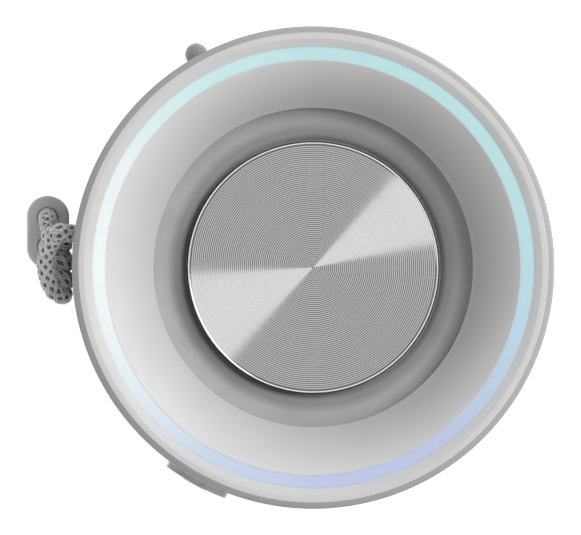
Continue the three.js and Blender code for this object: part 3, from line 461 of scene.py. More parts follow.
def make_piece(name, verts, faces, slot, body, replaced=(), smooth_angle=SHARP_ANGLE, look=None, extra=()):
    """A piece from millimetre points, riding on its body if one is named.

    look is its first material if that isn't the slot's own, and extra names further ones.
    """
    mesh = mesh_of(name, verts, faces)
    mesh.validate()
    obj = placed(name, mesh)
    for key in (look or slot, *extra):
        mesh.materials.append(materials[key])
    face_outward(mesh)
    shade(obj, smooth_angle)
    if body:
        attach(obj, body)
    if replaced:
        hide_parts(*replaced)
    return obj


def face_outward(mesh):
    """Joins points that meet and turns every face outward."""
    work = bmesh.new()
    work.from_mesh(mesh)
    bmesh.ops.remove_doubles(work, verts=work.verts, dist=1e-7)
    bmesh.ops.recalc_face_normals(work, faces=work.faces)
    work.to_mesh(mesh)
    work.free()


def shade(obj, angle):
    """Smooth shading, apart from edges that turn more than the angle."""
    for polygon in obj.data.polygons:
        polygon.use_smooth = True
    obj.data.set_sharp_from_angle(angle=math.radians(angle))


def filleted(corners, arc_steps=5):
    """Closed outline with rounded corners, from (x, y, fillet radius)."""
    outline = []
    for i, (x, y, radius) in enumerate(corners):
        here = Vector((x, y))
        if radius <= 0:
            outline.append((x, y))
            continue
        before = Vector(corners[i - 1][:2]) - here
        after = Vector(corners[(i + 1) % len(corners)][:2]) - here
        half = before.angle(after) / 2
        cut = min(radius / math.tan(half), 0.48 * before.length, 0.48 * after.length)
        fitted = cut * math.tan(half)
        inward = (before.normalized() + after.normalized()).normalized()
        centre = here + inward * (fitted / math.sin(half))
        start = here + before.normalized() * cut - centre
        turn = start.angle_signed(here + after.normalized() * cut - centre)
        for k in range(arc_steps + 1):
            swing = Matrix.Rotation(-turn * k / arc_steps, 2)
            outline.append(tuple(centre + swing @ start))
    return outline


def column_faces(steps, columns, count, left_out=()):
    """Faces from each column of points to the next, every column being a closed outline."""
    faces = []
    for c in range(steps):
        here, there = c * count, ((c + 1) % columns) * count
        for k in range(count):
            n = (k + 1) % count
            if k not in left_out:
                faces.append((here + k, there + k, there + n, here + n))
    return faces


def revolved(outline, steps=STEPS, start=0.0, sweep=2 * math.pi):
    """Vertices and faces of a closed (radius, height) outline turned about Z."""
    whole = abs(sweep - 2 * math.pi) < 1e-6
    columns = steps if whole else steps + 1
    count = len(outline)
    verts = []
    for c in range(columns):
        angle = start + sweep * c / steps
        verts.extend((r * math.cos(angle), r * math.sin(angle), h) for r, h in outline)
    on_axis = [k for k in range(count) if outline[k][0] < 1e-6 and outline[(k + 1) % count][0] < 1e-6]
    faces = column_faces(steps, columns, count, on_axis)
    if not whole:
        faces.append(tuple(range(count)))
        faces.append(tuple(steps * count + k for k in reversed(range(count))))
    return verts, faces


def turned(name, outline, slot, replaced, **options):
    """A lathed piece of the housing."""
    verts, faces = revolved(outline)
    return make_piece(name, verts, faces, slot, "housing", [replaced], **options)


def loose(name, solid, angle=0.0):
    """A temporary solid for cutting, turned about Z and not kept as a piece."""
    verts, faces = solid
    obj = placed(name, mesh_of(name, turn_verts(verts, angle), faces))
    face_outward(obj.data)
    return obj


def apply_modifiers(obj):
    """Makes what the modifiers give into the object's own mesh."""
    graph = bpy.context.evaluated_depsgraph_get()
    mesh = bpy.data.meshes.new_from_object(obj.evaluated_get(graph))
    obj.modifiers.clear()
    obj.data = mesh


def carve(obj, tools, operation="DIFFERENCE", smooth_angle=SHARP_ANGLE):
    """Cuts obj with temporary solids, or keeps what they share, then removes them."""
    for tool in tools:
        step = obj.modifiers.new("carve", "BOOLEAN")
        step.operation = operation
        step.solver = "EXACT"
        step.object = tool
    apply_modifiers(obj)
    for tool in tools:
        bpy.data.objects.remove(tool)
    shade(obj, smooth_angle)
    return obj


def soften(obj, width, segments):
    """Rounds the edges that turn more than 50 degrees."""
    step = obj.modifiers.new("soften", "BEVEL")
    step.width = width * MM
    step.segments = segments
    step.limit_method = "ANGLE"
    step.angle_limit = math.radians(50)
    apply_modifiers(obj)
    shade(obj, SHARP_ANGLE)


def turn_verts(verts, angle):
    """Turns points about Z."""
    c, s = math.cos(angle), math.sin(angle)
    return [(x * c - y * s, x * s + y * c, z) for x, y, z in verts]


def lathed_out(outline, steps, height, angle=0.0):
    """A lathed solid pointing out from the axis at a height and an angle."""
    verts, faces = revolved(outline, steps)
    return turn_verts([(z, y, height - x) for x, y, z in verts], angle), faces


def prism_out(outline, near, far):
    """A prism along +X of an outline in (y, z)."""
    count = len(outline)
    verts = [(near, y, z) for y, z in outline] + [(far, y, z) for y, z in outline]
    faces = [tuple(range(count)), tuple(reversed(range(count, 2 * count)))]
    for k in range(count):
        n = (k + 1) % count
        faces.append((k, n, count + n, count + k))
    return verts, faces


def rounded_box(width, height, middle, radius):
    """Outline in (y, z) of a rounded rectangle."""
    w, low, high = width / 2, middle - height / 2, middle + height / 2
    corners = [(-w, low, radius), (w, low, radius), (w, high, radius), (-w, high, radius)]
    return filleted(corners, 6)


def disc_out(radius, near, far, height, steps=48):
    """A round bar along +X."""
    angles = [2 * math.pi * k / steps for k in range(steps)]
    outline = [(radius * math.cos(a), height + radius * math.sin(a)) for a in angles]
    return prism_out(outline, near, far)


def merged(*solids):
    """One vertex and face list from several."""
    verts, faces = [], []
    for more_verts, more_faces in solids:
        base = len(verts)
        verts.extend(more_verts)
        faces.extend(tuple(base + i for i in face) for face in more_faces)
    return verts, faces


# ---------------- end caps
RIM_WIDTH = 1.0
GROMMET_R = 2.5
GROMMET_RISE = 2.45  # of its hole's middle above the CAD eyelet's foot


def paint_rim(obj, inner_radius):
    """Puts the cap's outer band on the rim's own finish."""
    for polygon in obj.data.polygons:
        if math.hypot(polygon.center.x, polygon.center.y) > (inner_radius + 0.03) * MM:
            polygon.material_index = 1


def add_top_cap():
    """Rim, bezel and shell in one, with a hole in its side for the lanyard's eyelet."""
    flat = BODY_R - RIM_WIDTH
    seat = TOP - 2.4  # of the ledge that the light ring lies against
    outline = filleted([
        (flat, TOP, 0.05),
        (flat + 0.05, TOP - 0.06, 0.03),
        (BODY_R - 0.25, TOP - 0.3, 0.4),
        (BODY_R, TOP - 0.75, 0.6),
        (BODY_R, CAP_LOW, 0.35),
        (CAP_BORE, CAP_LOW, 0.1),
        (CAP_BORE, seat, 0.1),
        (LIGHT_R, seat, 0.05),
        (LIGHT_R, LIGHT_TOP + 0.05, 0.03),
        (LIGHT_R + 1.25, TOP - 0.02, 0.7),
    ])
    cap = turned("top_cap_shell", outline, "shell_plastic", "top_cap", extra=["rim_elastomer"])
    height = span("lanyard_grommet", 2)[0] + GROMMET_RISE
    hole = loose("hole", disc_out(2.62, CAP_BORE - 1, BODY_R + 1, height))
    hole.data.transform(Matrix.Rotation(GROMMET_ANGLE, 4, "Z"))
    carve(cap, [hole])
    paint_rim(cap, flat)


def add_light_ring():
    inner, outer = DISH_R + 0.01, LIGHT_R - 0.01
    outline = filleted([
        (inner, LIGHT_LOW, 0.05), (outer, LIGHT_LOW, 0.05),
        (outer, LIGHT_TOP, 0.03), (inner, LIGHT_TOP, 0.03),
    ])
    turned("light_ring_lens", outline, "light_diffuser", "light_ring", smooth_angle=50)


def add_top_dish():
    """The flare inside the light ring: an even slope that steepens towards its lip."""
    rim = DISH_R
    lip = ROLL_OUTER_R
    rim_top = LIGHT_TOP + 0.03
    lip_top = TOP - DISH_LIP_DEPTH
    back_r = rim - 1.2
    even = 0.72  # share of the fall that is an even slope
    flare = []
    for k in range(1, 24):
        share = k / 24
        radius = rim - (rim - lip - 0.1) * share
        fall = (rim_top - lip_top) * (even * share + (1 - even) * share * share)
        flare.append((radius, rim_top - fall, 0))
    corners = [
        (rim, rim_top, 0.04),
        *flare,
        (lip, lip_top, 0.08),
        (lip, DISH_LOW + 0.02, 0.05),
        (lip + 1.0, lip_top - 0.8, 0),
        (back_r, rim_top - 3.0, 0),
        (back_r, TOP - DISH_BACK_DEPTH, 0),
        (rim, TOP - DISH_BACK_DEPTH, 0),
    ]
    turned("top_dish_shell", filleted(corners), "shell_plastic", "top_dish", look="dish_plastic")


def add_bottom_cap():
    """Bottom shell with its recess for the radiator and the slot for the foot ring."""
    low, high = BOTTOM_CAP_LOW, BOTTOM_CAP_HIGH
    slot_near, slot_far = FOOT_SLOT
    outline = filleted([
        (BODY_R - 1.0, low, 0.3),
        (BODY_R, low + 1.0, 0.5),
        (BODY_R, high, 0.35),
        (CAP_BORE, high, 0.1),
        (CAP_BORE, low + 5.2, 0.1),
        (ROLL_OUTER_R, low + 5.2, 0.1),
        (ROLL_OUTER_R, low + 4.4, 0.2),
        (RECESS_MOUTH_R, low, 0.4),
        (slot_near, low, 0.15),
        (slot_near, low + FOOT_SLOT_DEPTH, 0.1),
        (slot_far, low + FOOT_SLOT_DEPTH, 0.1),
        (slot_far, low, 0.15),
    ])
    turned("bottom_cap_shell", outline, "shell_plastic", "bottom_cap")


def add_foot_ring():
    """Rubber foot with a moulded tread of fine concentric ribs."""
    ribs = 5
    inner, outer = FOOT_INNER_R, FOOT_R
    corners = [(outer, 0, 0.15), (outer, FOOT_HIGH, 0.15), (inner, FOOT_HIGH, 0.15), (inner, 0, 0.15)]
    pitch = (outer - inner) / ribs
    for k in range(1, ribs):
        middle = inner + pitch * k
        corners += [(middle - 0.12, 0, 0.04), (middle, 0.3, 0.05), (middle + 0.12, 0, 0.04)]
    turned("foot_ring_tread", filleted(corners, 3), "dark_rubber", "foot_ring")


# ---------------- passive radiators
SECTORS = 12
ROLL_SINK = 1.35
ROLL_FLOOR_R = 21.0
ROLL_INNER_FALL = 0.95
ROLL_THICKNESS = 0.7
DISC_EDGE = 0.35  # width left plain outside the grooves


def add_disc(end, face, back):
    """Spun disc: real concentric grooves, a bright turned edge and a chamfer below it."""
    node = f"{end}_radiator"
    facing = 1 if face > back else -1
    outline = [(0.0, face)]
    rings = int((DISC_R - DISC_EDGE) / GROOVE_PITCH)
    for k in range(rings):
        outline.append(((k + 1 - GROOVE_RISE) * GROOVE_PITCH, face - facing * GROOVE_DEPTH))
        outline.append(((k + 1) * GROOVE_PITCH, face))
    edge = outline[-1][0]
    outline += [
        (edge + 0.12, face - facing * GROOVE_DEPTH),
        (edge + 0.2, face),
        (DISC_R - 0.08, face),
        (DISC_R - 0.03, face - facing * 0.03),
        (DISC_R, face - facing * 0.1),
        (DISC_R, back + facing * 0.05),
        (DISC_R - 0.05, back),
        (0.0, back),
    ]
    verts, faces = revolved(outline, 192)
    make_piece(f"{end}_disc", verts, faces, "spun_aluminium", node, [node], smooth_angle=18)


def roll_outline(clamp, lip, inward):
    """Sunken roll: steep at the clamped edge, then flatter, falling into a crease round the disc."""
    inner, outer = ROLL_INNER_R, ROLL_OUTER_R - 0.02
    top = []
    steps = 24
    for k in range(steps + 1):
        radius = inner + (outer - inner) * k / steps
        if radius > ROLL_FLOOR_R:
            rise = ROLL_SINK * ((radius - ROLL_FLOOR_R) / (outer - ROLL_FLOOR_R)) ** 2.9
        else:
            rise = -ROLL_INNER_FALL * ((ROLL_FLOOR_R - radius) / (ROLL_FLOOR_R - inner)) ** 3
        top.append((radius, clamp + inward * (ROLL_SINK - rise)))
    under_disc = [(DISC_R - 1.5, lip), (DISC_R - 0.4, lip), (DISC_R, clamp + inward * ROLL_SINK)]
    face = [*under_disc, *top, (ROLL_OUTER_R + 1.8, clamp)]
    back = [(radius, height + inward * ROLL_THICKNESS) for radius, height in face]
    return face + back[::-1]


def add_surround(end, clamp, lip, inward):
    """The roll in sectors, each reaching from the disc inside it to the frame outside it."""
    outline = roll_outline(clamp, lip, inward)
    width = 2 * math.pi / SECTORS
    for k in range(SECTORS):
        verts, faces = revolved(outline, 16, width * (k - 0.5), width)
        replaced = [f"{end}_surround"] if k == 0 else []
        name = f"{end}_surround_{k + 1:02d}"
        piece = make_piece(name, verts, faces, "dark_rubber", None, replaced, 50, "roll_rubber")
        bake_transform(piece)


# ---------------- sleeve
KNIT_SWELL = 0.11
EDGE_TUCK = 0.45  # how far the cloth turns in at its two edges


def wrapped_tube(inner, outer, low, high):
    """Cloth tube: its outside rises and falls a little over every column of knit."""
    turns, levels, tucked = WALES * 6, 48, 1.2
    verts = []
    for c in range(turns):
        angle = 2 * math.pi * c / turns
        swell = KNIT_SWELL * math.cos(WALES * angle)
        for level in range(levels + 1):
            share = level / levels
            near_low = max(0, 1 - share * levels / tucked) ** 2
            near_high = max(0, 1 - (1 - share) * levels / tucked) ** 2
            r = outer - KNIT_SWELL + swell - EDGE_TUCK * (near_low + near_high)
            verts.append((r * math.cos(angle), r * math.sin(angle), low + (high - low) * share))
        verts.append((inner * math.cos(angle), inner * math.sin(angle), high))
        verts.append((inner * math.cos(angle), inner * math.sin(angle), low))
    return verts, column_faces(turns, turns, levels + 3)


def add_sleeve():
    """Knitted sleeve with its slots for the strip and the two keys."""
    verts, faces = wrapped_tube(CAP_BORE + 0.02, SLEEVE_R, SLEEVE_LOW + 0.02, SLEEVE_HIGH - 0.02)
    sleeve = make_piece(
        "knit_sleeve", verts, faces, "knit_fabric", "housing", ["fabric_sleeve"], smooth_angle=60,
    )
    slots = [("control_strip", STRIP_WIDTH, 0.3, 1.2, STRIP_ANGLE)]
    for key in ("volume_up_key", "volume_down_key"):
        slots.append((key, 2 * KEY_R, 0.5, KEY_R + 0.22, KEY_ANGLE))
    tools = []
    for node, width, play, corner, angle in slots:
        low, high = span(node, 2)
        outline = rounded_box(width + play, high - low + play, (low + high) / 2, corner)
        tools.append(loose("slot", prism_out(outline, CUT_NEAR, CUT_FAR), angle))
    carve(sleeve, tools, smooth_angle=60)


# ---------------- volume keys
def add_key(node, sign):
    """Round-backed key with a shallow engraved plus or minus, on its flat stem."""
    low, high = span(node, 2)
    middle, radius = (low + high) / 2, KEY_R
    half = (high - low) / 2 - radius
    outline = [(0, middle - half - radius)]
    for end, quarter in ((middle - half, range(-11, 1)), (middle + half, range(12))):
        for k in quarter:
            a = math.pi / 24 * k
            outline.append((radius * math.cos(a), end + radius * math.sin(a)))
    outline.append((0, middle + half + radius))
    verts, faces = revolved(outline, 48)
    verts = [(x + KEY_AXIS_R, y, z) for x, y, z in verts]
    key = make_piece(f"{node}_cap", turn_verts(verts, KEY_ANGLE), faces, "key_plastic", node, [node], 45)
    face = KEY_AXIS_R + KEY_R
    long, thin = 1.6, 0.32
    sides = [(long, thin)] if sign < 0 else [(long, thin), (thin, long)]
    tools = []
    for width, height in sides:
        bar = prism_out(rounded_box(width, height, middle, 0.15), face - 0.21, face + 1)
        tools.append(loose("bar", bar, KEY_ANGLE))
    carve(key, tools, smooth_angle=45)
    stem_verts, stem_faces = prism_out(rounded_box(2.2, 8, middle, 0.3), STEM_NEAR, 36.0)
    make_piece(f"{node}_stem", turn_verts(stem_verts, KEY_ANGLE), stem_faces, "inner_plastic", node)


# ---------------- control strip
def add_control_strip():
    """Raised strip, curved with the barrel, with holes for all that it carries."""
    low, high = span("control_strip", 2)
    arc = [(STRIP_BACK_R, low), (STRIP_R, low), (STRIP_R, high), (STRIP_BACK_R, high)]
    verts, faces = revolved(arc, 48, -math.radians(9), math.radians(18))
    # the strip's lighter plastic is painted light against the shade it sits in
    strip = make_piece(
        "control_strip_panel", verts, faces, "shell_plastic", "housing", ["control_strip"],
        look="strip_plastic_painted_light",
    )
    plan = rounded_box(STRIP_WIDTH, high - low, (low + high) / 2, 1.0)
    carve(strip, [loose("plan", prism_out(plan, CUT_NEAR, CUT_FAR))], "INTERSECT")
    soften(strip, 0.38, 5)
    tools = []
    for name in ("power_button", "pair_button", "voice_button"):
        height = centre_height(name)
        tools.append(loose("hole", disc_out(BUTTON_HOLE_R, CUT_NEAR, CUT_FAR, height)))
        tools.append(loose("dish", dimple(height)))
    for name, radius in (("status_light", 0.86), ("microphone", 0.45)):
        tools.append(loose("hole", disc_out(radius, CUT_NEAR, CUT_FAR, centre_height(name), 32)))
    a, b = span("port_cover", 2)
    pocket = rounded_box(7.7, b - a + 0.3, (a + b) / 2, 0.9)
    tools.append(loose("pocket", prism_out(pocket, STRIP_R - 1.3, CUT_FAR)))
    port = rounded_box(3.7, 9.3, (a + b) / 2, 1.8)
    tools.append(loose("port", prism_out(port, CUT_NEAR, CUT_FAR)))
    tools += end_details(high)
    carve(strip, tools)
    strip.data.transform(Matrix.Rotation(STRIP_ANGLE, 4, "Z"))


def dimple(height):
    """A shallow spherical dish round a button, as a cutting tool."""
    ball_r, depth, outside = 19, 0.28, 39.5
    outline = [(0, outside)]
    for k in range(9):
        a = math.radians(k * 1.35)
        outline.append((ball_r * math.sin(a) + 0.001 * k, STRIP_R - depth + ball_r * (1 - math.cos(a))))
    outline.append((outline[-1][0], outside))
    return lathed_out(outline, 48, height)


def end_details(high):
    """The recess, the shelf and the notch in the strip's upper end, with a rib left between."""
    recess = (-4.75, -1.15, 0.5, 0.25)  # its two sides, its depth and the skin left outside it
    shelf = (-0.9, 1.05, 0.12, 0.2)
    notch = (1.05, 1.28, 0.5, 0.2)
    tools = []
    for left, right, depth, skin in (recess, shelf, notch):
        outline = [(left, high - depth), (right, high - depth), (right, high + 1), (left, high + 1)]
        tools.append(loose("end", prism_out(outline, 36.4, STRIP_R - skin)))
    return tools


def add_button(node, marks):
    """Domed round button with a fine rim and a small engraved mark."""
    height = centre_height(node)
    face = STRIP_R + BUTTON_PROUD
    outline = filleted([
        (0, STEM_NEAR, 0),
        (2.2, STEM_NEAR, 0.1),
        (2.28, face - 0.35, 0.1),
        (1.95, face - 0.02, 0.25),
        (0, face, 0),
    ])
    verts, faces = lathed_out(outline, 64, height, STRIP_ANGLE)
    button = make_piece(f"{node}_cap", verts, faces, "key_plastic", node, [node], 30)
    solids = [prism_out(mark, face - 0.12, CUT_FAR) for mark in marks(height)]
    carve(button, [loose("mark", solid, STRIP_ANGLE) for solid in solids], smooth_angle=30)


def ring_arc(inner, outer, start, end, height, steps=28):
    """Outline in (y, z) of part of a flat ring, between two angles in degrees."""
    angles = [math.radians(start + (end - start) * k / steps) for k in range(steps + 1)]
    sides = [[(r * math.cos(a), height + r * math.sin(a)) for a in angles] for r in (outer, inner)]
    return sides[0] + sides[1][::-1]


def power_marks(height):
    """An open ring with a bar in its gap."""
    return [ring_arc(0.75, 1.0, 125, 415, height), rounded_box(0.24, 0.95, height + 0.75, 0.1)]


def pair_marks(height):
    """Two arcs on each side, like waves going out."""
    return [
        ring_arc(r, r + 0.22, side - 42, side + 42, height, 12)
        for r in (0.45, 0.95) for side in (0, 180)
    ]


def voice_marks(height):
    """A plain microphone on its stand."""
    return [
        rounded_box(0.6, 1.2, height + 0.25, 0.29),
        ring_arc(0.72, 0.92, 190, 350, height + 0.1, 16),
        rounded_box(0.2, 0.45, height - 0.95, 0.05),
    ]


def add_port_cover():
    """Curved rubber flap with a finger scoop at its free end and a groove along its hinge."""
    a, b = span("port_cover", 2)
    arc = [(STRIP_R - 1.0, a), (STRIP_R, a), (STRIP_R, b), (STRIP_R - 1.0, b)]
    verts, faces = revolved(arc, 32, -math.radians(8), math.radians(16))
    cover = make_piece("port_cover_flap", verts, faces, "dark_rubber", "port_cover", ["port_cover"])
    plan = rounded_box(7.36, b - a - 0.02, (a + b) / 2, 0.75)
    carve(cover, [loose("plan", prism_out(plan, CUT_NEAR, CUT_FAR))], "INTERSECT")
    soften(cover, 0.15, 3)
    scoop = prism_out(ring_arc(0.01, 1.5, 0, 180, a - 0.02), STRIP_R - 0.45, CUT_FAR)
    groove = prism_out(rounded_box(5.4, 0.3, b - 1.1, 0.14), STRIP_R - 0.35, CUT_FAR)
    carve(cover, [loose("scoop", scoop), loose("groove", groove)])
    cover.data.transform(Matrix.Rotation(STRIP_ANGLE, 4, "Z"))


def add_status_light():
    """Light pipe with a domed end, flush with the strip."""
    near, radius = 30.0, 0.78
    dome = STRIP_R - 0.1
    outline = filleted([(0, near, 0), (radius, near, 0.05), (radius, dome, 0.2), (0, STRIP_R, 0)])
    verts, faces = lathed_out(outline, 32, centre_height("status_light"), STRIP_ANGLE)
    make_piece("status_light_pipe", verts, faces, "light_diffuser", "housing", ["status_light"])


# ---------------- lanyard
CORD_D = 2.9
EXIT_ROUTE = [
    (-35.1, 4.93, 198),
    (-36.4, 5.11, 198),
    (-37.6, 5.28, 198),
    (-38.5, 5.3, 197.95),
]
LOOP_ROUTE = [
    (-39.9, 5.0, 188.0),
    (-40.3, 6.6, 185.6),
    (-40.5, 7.6, 182.6),
    (-40.5, 7.6, 170),
    (-40.5, 7.6, 150),
    (-40.5, 7.6, 130),
    (-40.5, 7.6, 116),
    (-40.5, 8.1, 102),
    (-40.5, 8.6, 88),
    (-40.5, 8.75, 76),
    (-40.5, 8.7, 64),
    (-40.5, 6.94, 59.76),
    (-40.5, 2.7, 58),
    (-40.5, -1.54, 59.76),
    (-40.5, -3.3, 64),
    (-40.5, -3.3, 74),
    (-40.5, -2.4, 86),
    (-40.5, -0.2, 97),
    (-40.5, 2.2, 107),
    (-40.5, 3.2, 118),
    (-40.5, 3.2, 130),
    (-40.5, 3.2, 150),
    (-40.5, 3.2, 170),
    (-40.5, 3.2, 182.6),
    (-40.3, 2.4, 185.2),
    (-40.0, 1.2, 187.4),
    (-39.5, 0.1, 189.6),
    (-39.1, -0.8, 191.6),
    (-38.8, -1.4, 193.4),
]
# The knot's outer bight, laid over its wraps from the grommet round to the far side.
BIGHT_ROUTE = [
    (-38.9, 4.4, 197.1),
    (-40.0, 3.1, 196.7),
    (-40.5, 0.8, 196.5),
    (-40.2, -1.6, 196.3),
    (-39.2, -3.6, 195.6),
    (-38.1, -4.2, 194.2),
    (-37.9, -3.9, 192.2),
    (-38.6, -3.2, 190.6),
]
WRAP_CENTRE = (-38.75, -1.5, 193.5)
WRAP_REACH = (1.15, 1.95)  # of the wraps' centreline along X and Z
WRAP_PITCH = 2.75  # between one wrap and the next, along Y
WRAP_SLANT = 1.1
WRAP_TURNS = 2.5


def knot_route():
    """Over the top in one wide bight, then back in slanting wraps about Y beneath it."""
    cx, cy, cz = WRAP_CENTRE
    points = list(BIGHT_ROUTE)
    steps = int(WRAP_TURNS * 10)
    for k in range(steps + 1):
        turn = -math.pi * 0.75 + 2 * math.pi * WRAP_TURNS * k / steps
        x = cx + WRAP_REACH[0] * math.sin(turn)
        y = cy + WRAP_PITCH * turn / (2 * math.pi) - WRAP_SLANT * (x - cx)
        points.append((x, y, cz + WRAP_REACH[1] * math.cos(turn)))
    return points


def between(p, q, start, end, t):
    """The point at t on the line that is at p at the start and at q at the end."""
    return p * ((end - t) / (end - start)) + q * ((t - start) / (end - start))


def spline(points, step):
    """Centripetal Catmull-Rom curve through the points, sampled every step millimetres."""
    pts = [Vector(p) for p in points]
    pts = [pts[0] * 2 - pts[1], *pts, pts[-1] * 2 - pts[-2]]
    fine = []
    for i in range(1, len(pts) - 2):
        p0, p1, p2, p3 = pts[i - 1:i + 3]
        t0 = 0.0
        t1 = t0 + math.sqrt((p1 - p0).length)
        t2 = t1 + math.sqrt((p2 - p1).length)
        t3 = t2 + math.sqrt((p3 - p2).length)
        count = max(4, int((p2 - p1).length / step * 4))
        for k in range(count):
            t = t1 + (t2 - t1) * k / count
            a1 = between(p0, p1, t0, t1, t)
            a2 = between(p1, p2, t1, t2, t)
            a3 = between(p2, p3, t2, t3, t)
            b1 = between(a1, a2, t0, t2, t)
            b2 = between(a2, a3, t1, t3, t)
            fine.append(between(b1, b2, t1, t2, t))
    fine.append(pts[-2])
    return resampled(fine, step)


def resampled(fine, step):
    """The same line with its points an even step apart."""
    lengths = [0.0]
    for a, b in zip(fine, fine[1:]):
        lengths.append(lengths[-1] + (b - a).length)
    count = round(lengths[-1] / step)
    line = []
    at = 0
    for k in range(count + 1):
        want = lengths[-1] * k / count
        while at < len(fine) - 2 and lengths[at + 1] < want:
            at += 1
        gap = lengths[at + 1] - lengths[at]
        line.append(fine[at].lerp(fine[at + 1], (want - lengths[at]) / gap if gap else 0))
    return line


def frames_along(line):
    """Two cross directions at each point of a line, carried along without twist."""
    last = len(line) - 1
    tangents = [(line[min(i + 1, last)] - line[max(i - 1, 0)]).normalized() for i in range(len(line))]
    side = tangents[0].orthogonal().normalized()
    frames = []
    for tangent in tangents:
        side = (side - tangent * side.dot(tangent)).normalized()
        frames.append((side.copy(), tangent.cross(side)))
    return frames


def stacked_faces(rings, sides):
    """Faces of a solid made of one ring of points after another, with flat ends."""
    total = rings * sides
    faces = [tuple(reversed(range(sides))), tuple(range(total - sides, total))]
    for i in range(rings - 1):
        for k in range(sides):
            n = (k + 1) % sides
            faces.append((i * sides + k, i * sides + n, (i + 1) * sides + n, (i + 1) * sides + k))
    return faces


def tube(line, radius, sides):
    """Round tube with flat ends along a line."""
    verts = []
    for point, (u, v) in zip(line, frames_along(line)):
        for k in range(sides):
            a = 2 * math.pi * k / sides
            verts.append(tuple(point + (u * math.cos(a) + v * math.sin(a)) * radius))
    return verts, stacked_faces(len(line), sides)


CORE_R = 1.08
CARRIERS = 5  # pairs of yarns laid each way round the cord
BRAID_PITCH = 8.0  # of one yarn's full turn
YARN_R = 0.135
YARN_WAVE = 0.12  # of a yarn's rise and fall as it crosses the others
YARN_SPREAD = 0.155  # half the angle between the two yarns of a pair
CORD_STEP = 0.34


def braid(line, step):
    """Yarns wound both ways round the line, passing over and under each other in pairs."""
    frames = frames_along(line)
    mean = CORD_D / 2 - YARN_R - 0.1
    turn_each = 2 * math.pi / BRAID_PITCH
    solids = []
    for way in (1, -1):
        for carrier in range(CARRIERS):
            for twin in (-YARN_SPREAD, YARN_SPREAD):
                centre = []
                for i, (point, (u, v)) in enumerate(zip(line, frames)):
                    s = i * step
                    a = way * turn_each * s + 2 * math.pi * carrier / CARRIERS + twin
                    r = mean + way * YARN_WAVE * math.cos(CARRIERS * turn_each * s)
                    centre.append(point + (u * math.cos(a) + v * math.sin(a)) * r)
                solids.append(tube(centre, YARN_R, 5))
    return merged(*solids)


def add_cord():
    """The whole cord: out of its eyelet, through the knot, round the loop and back up."""
    line = spline([*EXIT_ROUTE, *knot_route(), *LOOP_ROUTE], CORD_STEP)
    yarns = braid(line, (line[1] - line[0]).length)
    verts, faces = merged(yarns, tube(line[::2], CORE_R, 12))
    solids = ["lanyard_cord_exit", "lanyard_knot", "lanyard_cord"]
    cord = make_piece(
        "lanyard_braid", verts, faces, "cord_fabric", "housing", solids, 80, extra=["cord_core"],
    )
    core_start = len(yarns[1])
    for polygon in cord.data.polygons[core_start:]:
        polygon.material_index = 1
    add_bead()


BEAD_HOLE_REACH = 2.2  # of each hole from the bead's middle
BEAD_HOLE_R = 1.53


def add_bead():
    """Two-hole sliding bead with rounded edges."""
    low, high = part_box("lanyard_bead")
    low, high = low / MM, high / MM
    middle = (low + high) / 2
    radius = (high.x - low.x) / 2
    straight = (high.y - low.y) / 2 - radius
    fillet, levels = 0.45, 6
    rows = []
    for k in range(levels + 1):
        a = math.pi / 2 * k / levels
        rows.append((radius - fillet * (1 - math.sin(a)), low.z + fillet * (1 - math.cos(a))))
    rows += [(r, high.z + low.z - z) for r, z in reversed(rows)]
    sides = 32  # round each end
    verts = []
    for r, z in rows:
        for half in (0, 1):
            for k in range(sides + 1):
                a = math.pi * (k / sides + half)
                shift = straight if half == 0 else -straight
                verts.append((middle.x + r * math.cos(a), middle.y + shift + r * math.sin(a), z))
    # its lighter plastic is painted light against the body's shadow
    bead = make_piece(
        "lanyard_bead_slider", verts, stacked_faces(len(rows), 2 * (sides + 1)), "key_plastic",
        "lanyard_bead", ["lanyard_bead"], 40, "bead_plastic_painted_light",
    )
    flare = 0.3
    wide = BEAD_HOLE_R + flare
    outline = [(0, low.z - 1), (wide, low.z - 1), (wide, low.z - 0.01)]
    for k in range(7):
        a = math.pi / 2 * k / 6
        outline.append((BEAD_HOLE_R + flare * (1 - math.sin(a)), low.z + flare * (1 - math.cos(a))))
    outline += [(r, high.z + low.z - z) for r, z in reversed(outline)]
    hole_verts, hole_faces = revolved(outline, 40)
    tools = []
    for reach in (-BEAD_HOLE_REACH, BEAD_HOLE_REACH):
        verts = [(x + middle.x, y + (middle.y + reach), z) for x, y, z in hole_verts]
        tools.append(loose("hole", (verts, hole_faces)))
    return carve(bead, tools, smooth_angle=40)


def add_grommet():
    """Plated eyelet with a rolled lip, in the cap's side."""
    bore, near, face = 1.72, CAP_BORE + 0.05, BODY_R - 0.02
    outline = filleted([
        (bore, near, 0.05),
        (GROMMET_R, near, 0.05),
        (GROMMET_R, BODY_R - 0.16, 0.05),
        (GROMMET_R, face, 0.1),
        (bore + 0.1, face, 0.12),
        (bore, BODY_R - 0.3, 0.1),
    ])
    verts, faces = lathed_out(outline, 64, centre_height("lanyard_grommet"), GROMMET_ANGLE)
    make_piece("grommet_eyelet", verts, faces, "plain_steel", "housing", ["lanyard_grommet"])


# ---------------- build
add_cord()
add_grommet()
add_top_cap()
add_light_ring()
add_top_dish()
add_disc("top", DISC_TOP, DISC_LOW)
add_surround("top", TOP_CLAMP, DISC_LOW - 0.05, -1)
add_bottom_cap()
add_foot_ring()
add_disc("bottom", BOTTOM_DISC_LOW, BOTTOM_DISC_TOP)
add_surround("bottom", BOTTOM_CLAMP, BOTTOM_DISC_TOP + 0.05, 1)
add_sleeve()
add_key("volume_up_key", 1)
add_key("volume_down_key", -1)
add_control_strip()
add_button("power_button", power_marks)
add_button("pair_button", pair_marks)
add_button("voice_button", voice_marks)
add_port_cover()
add_status_light()


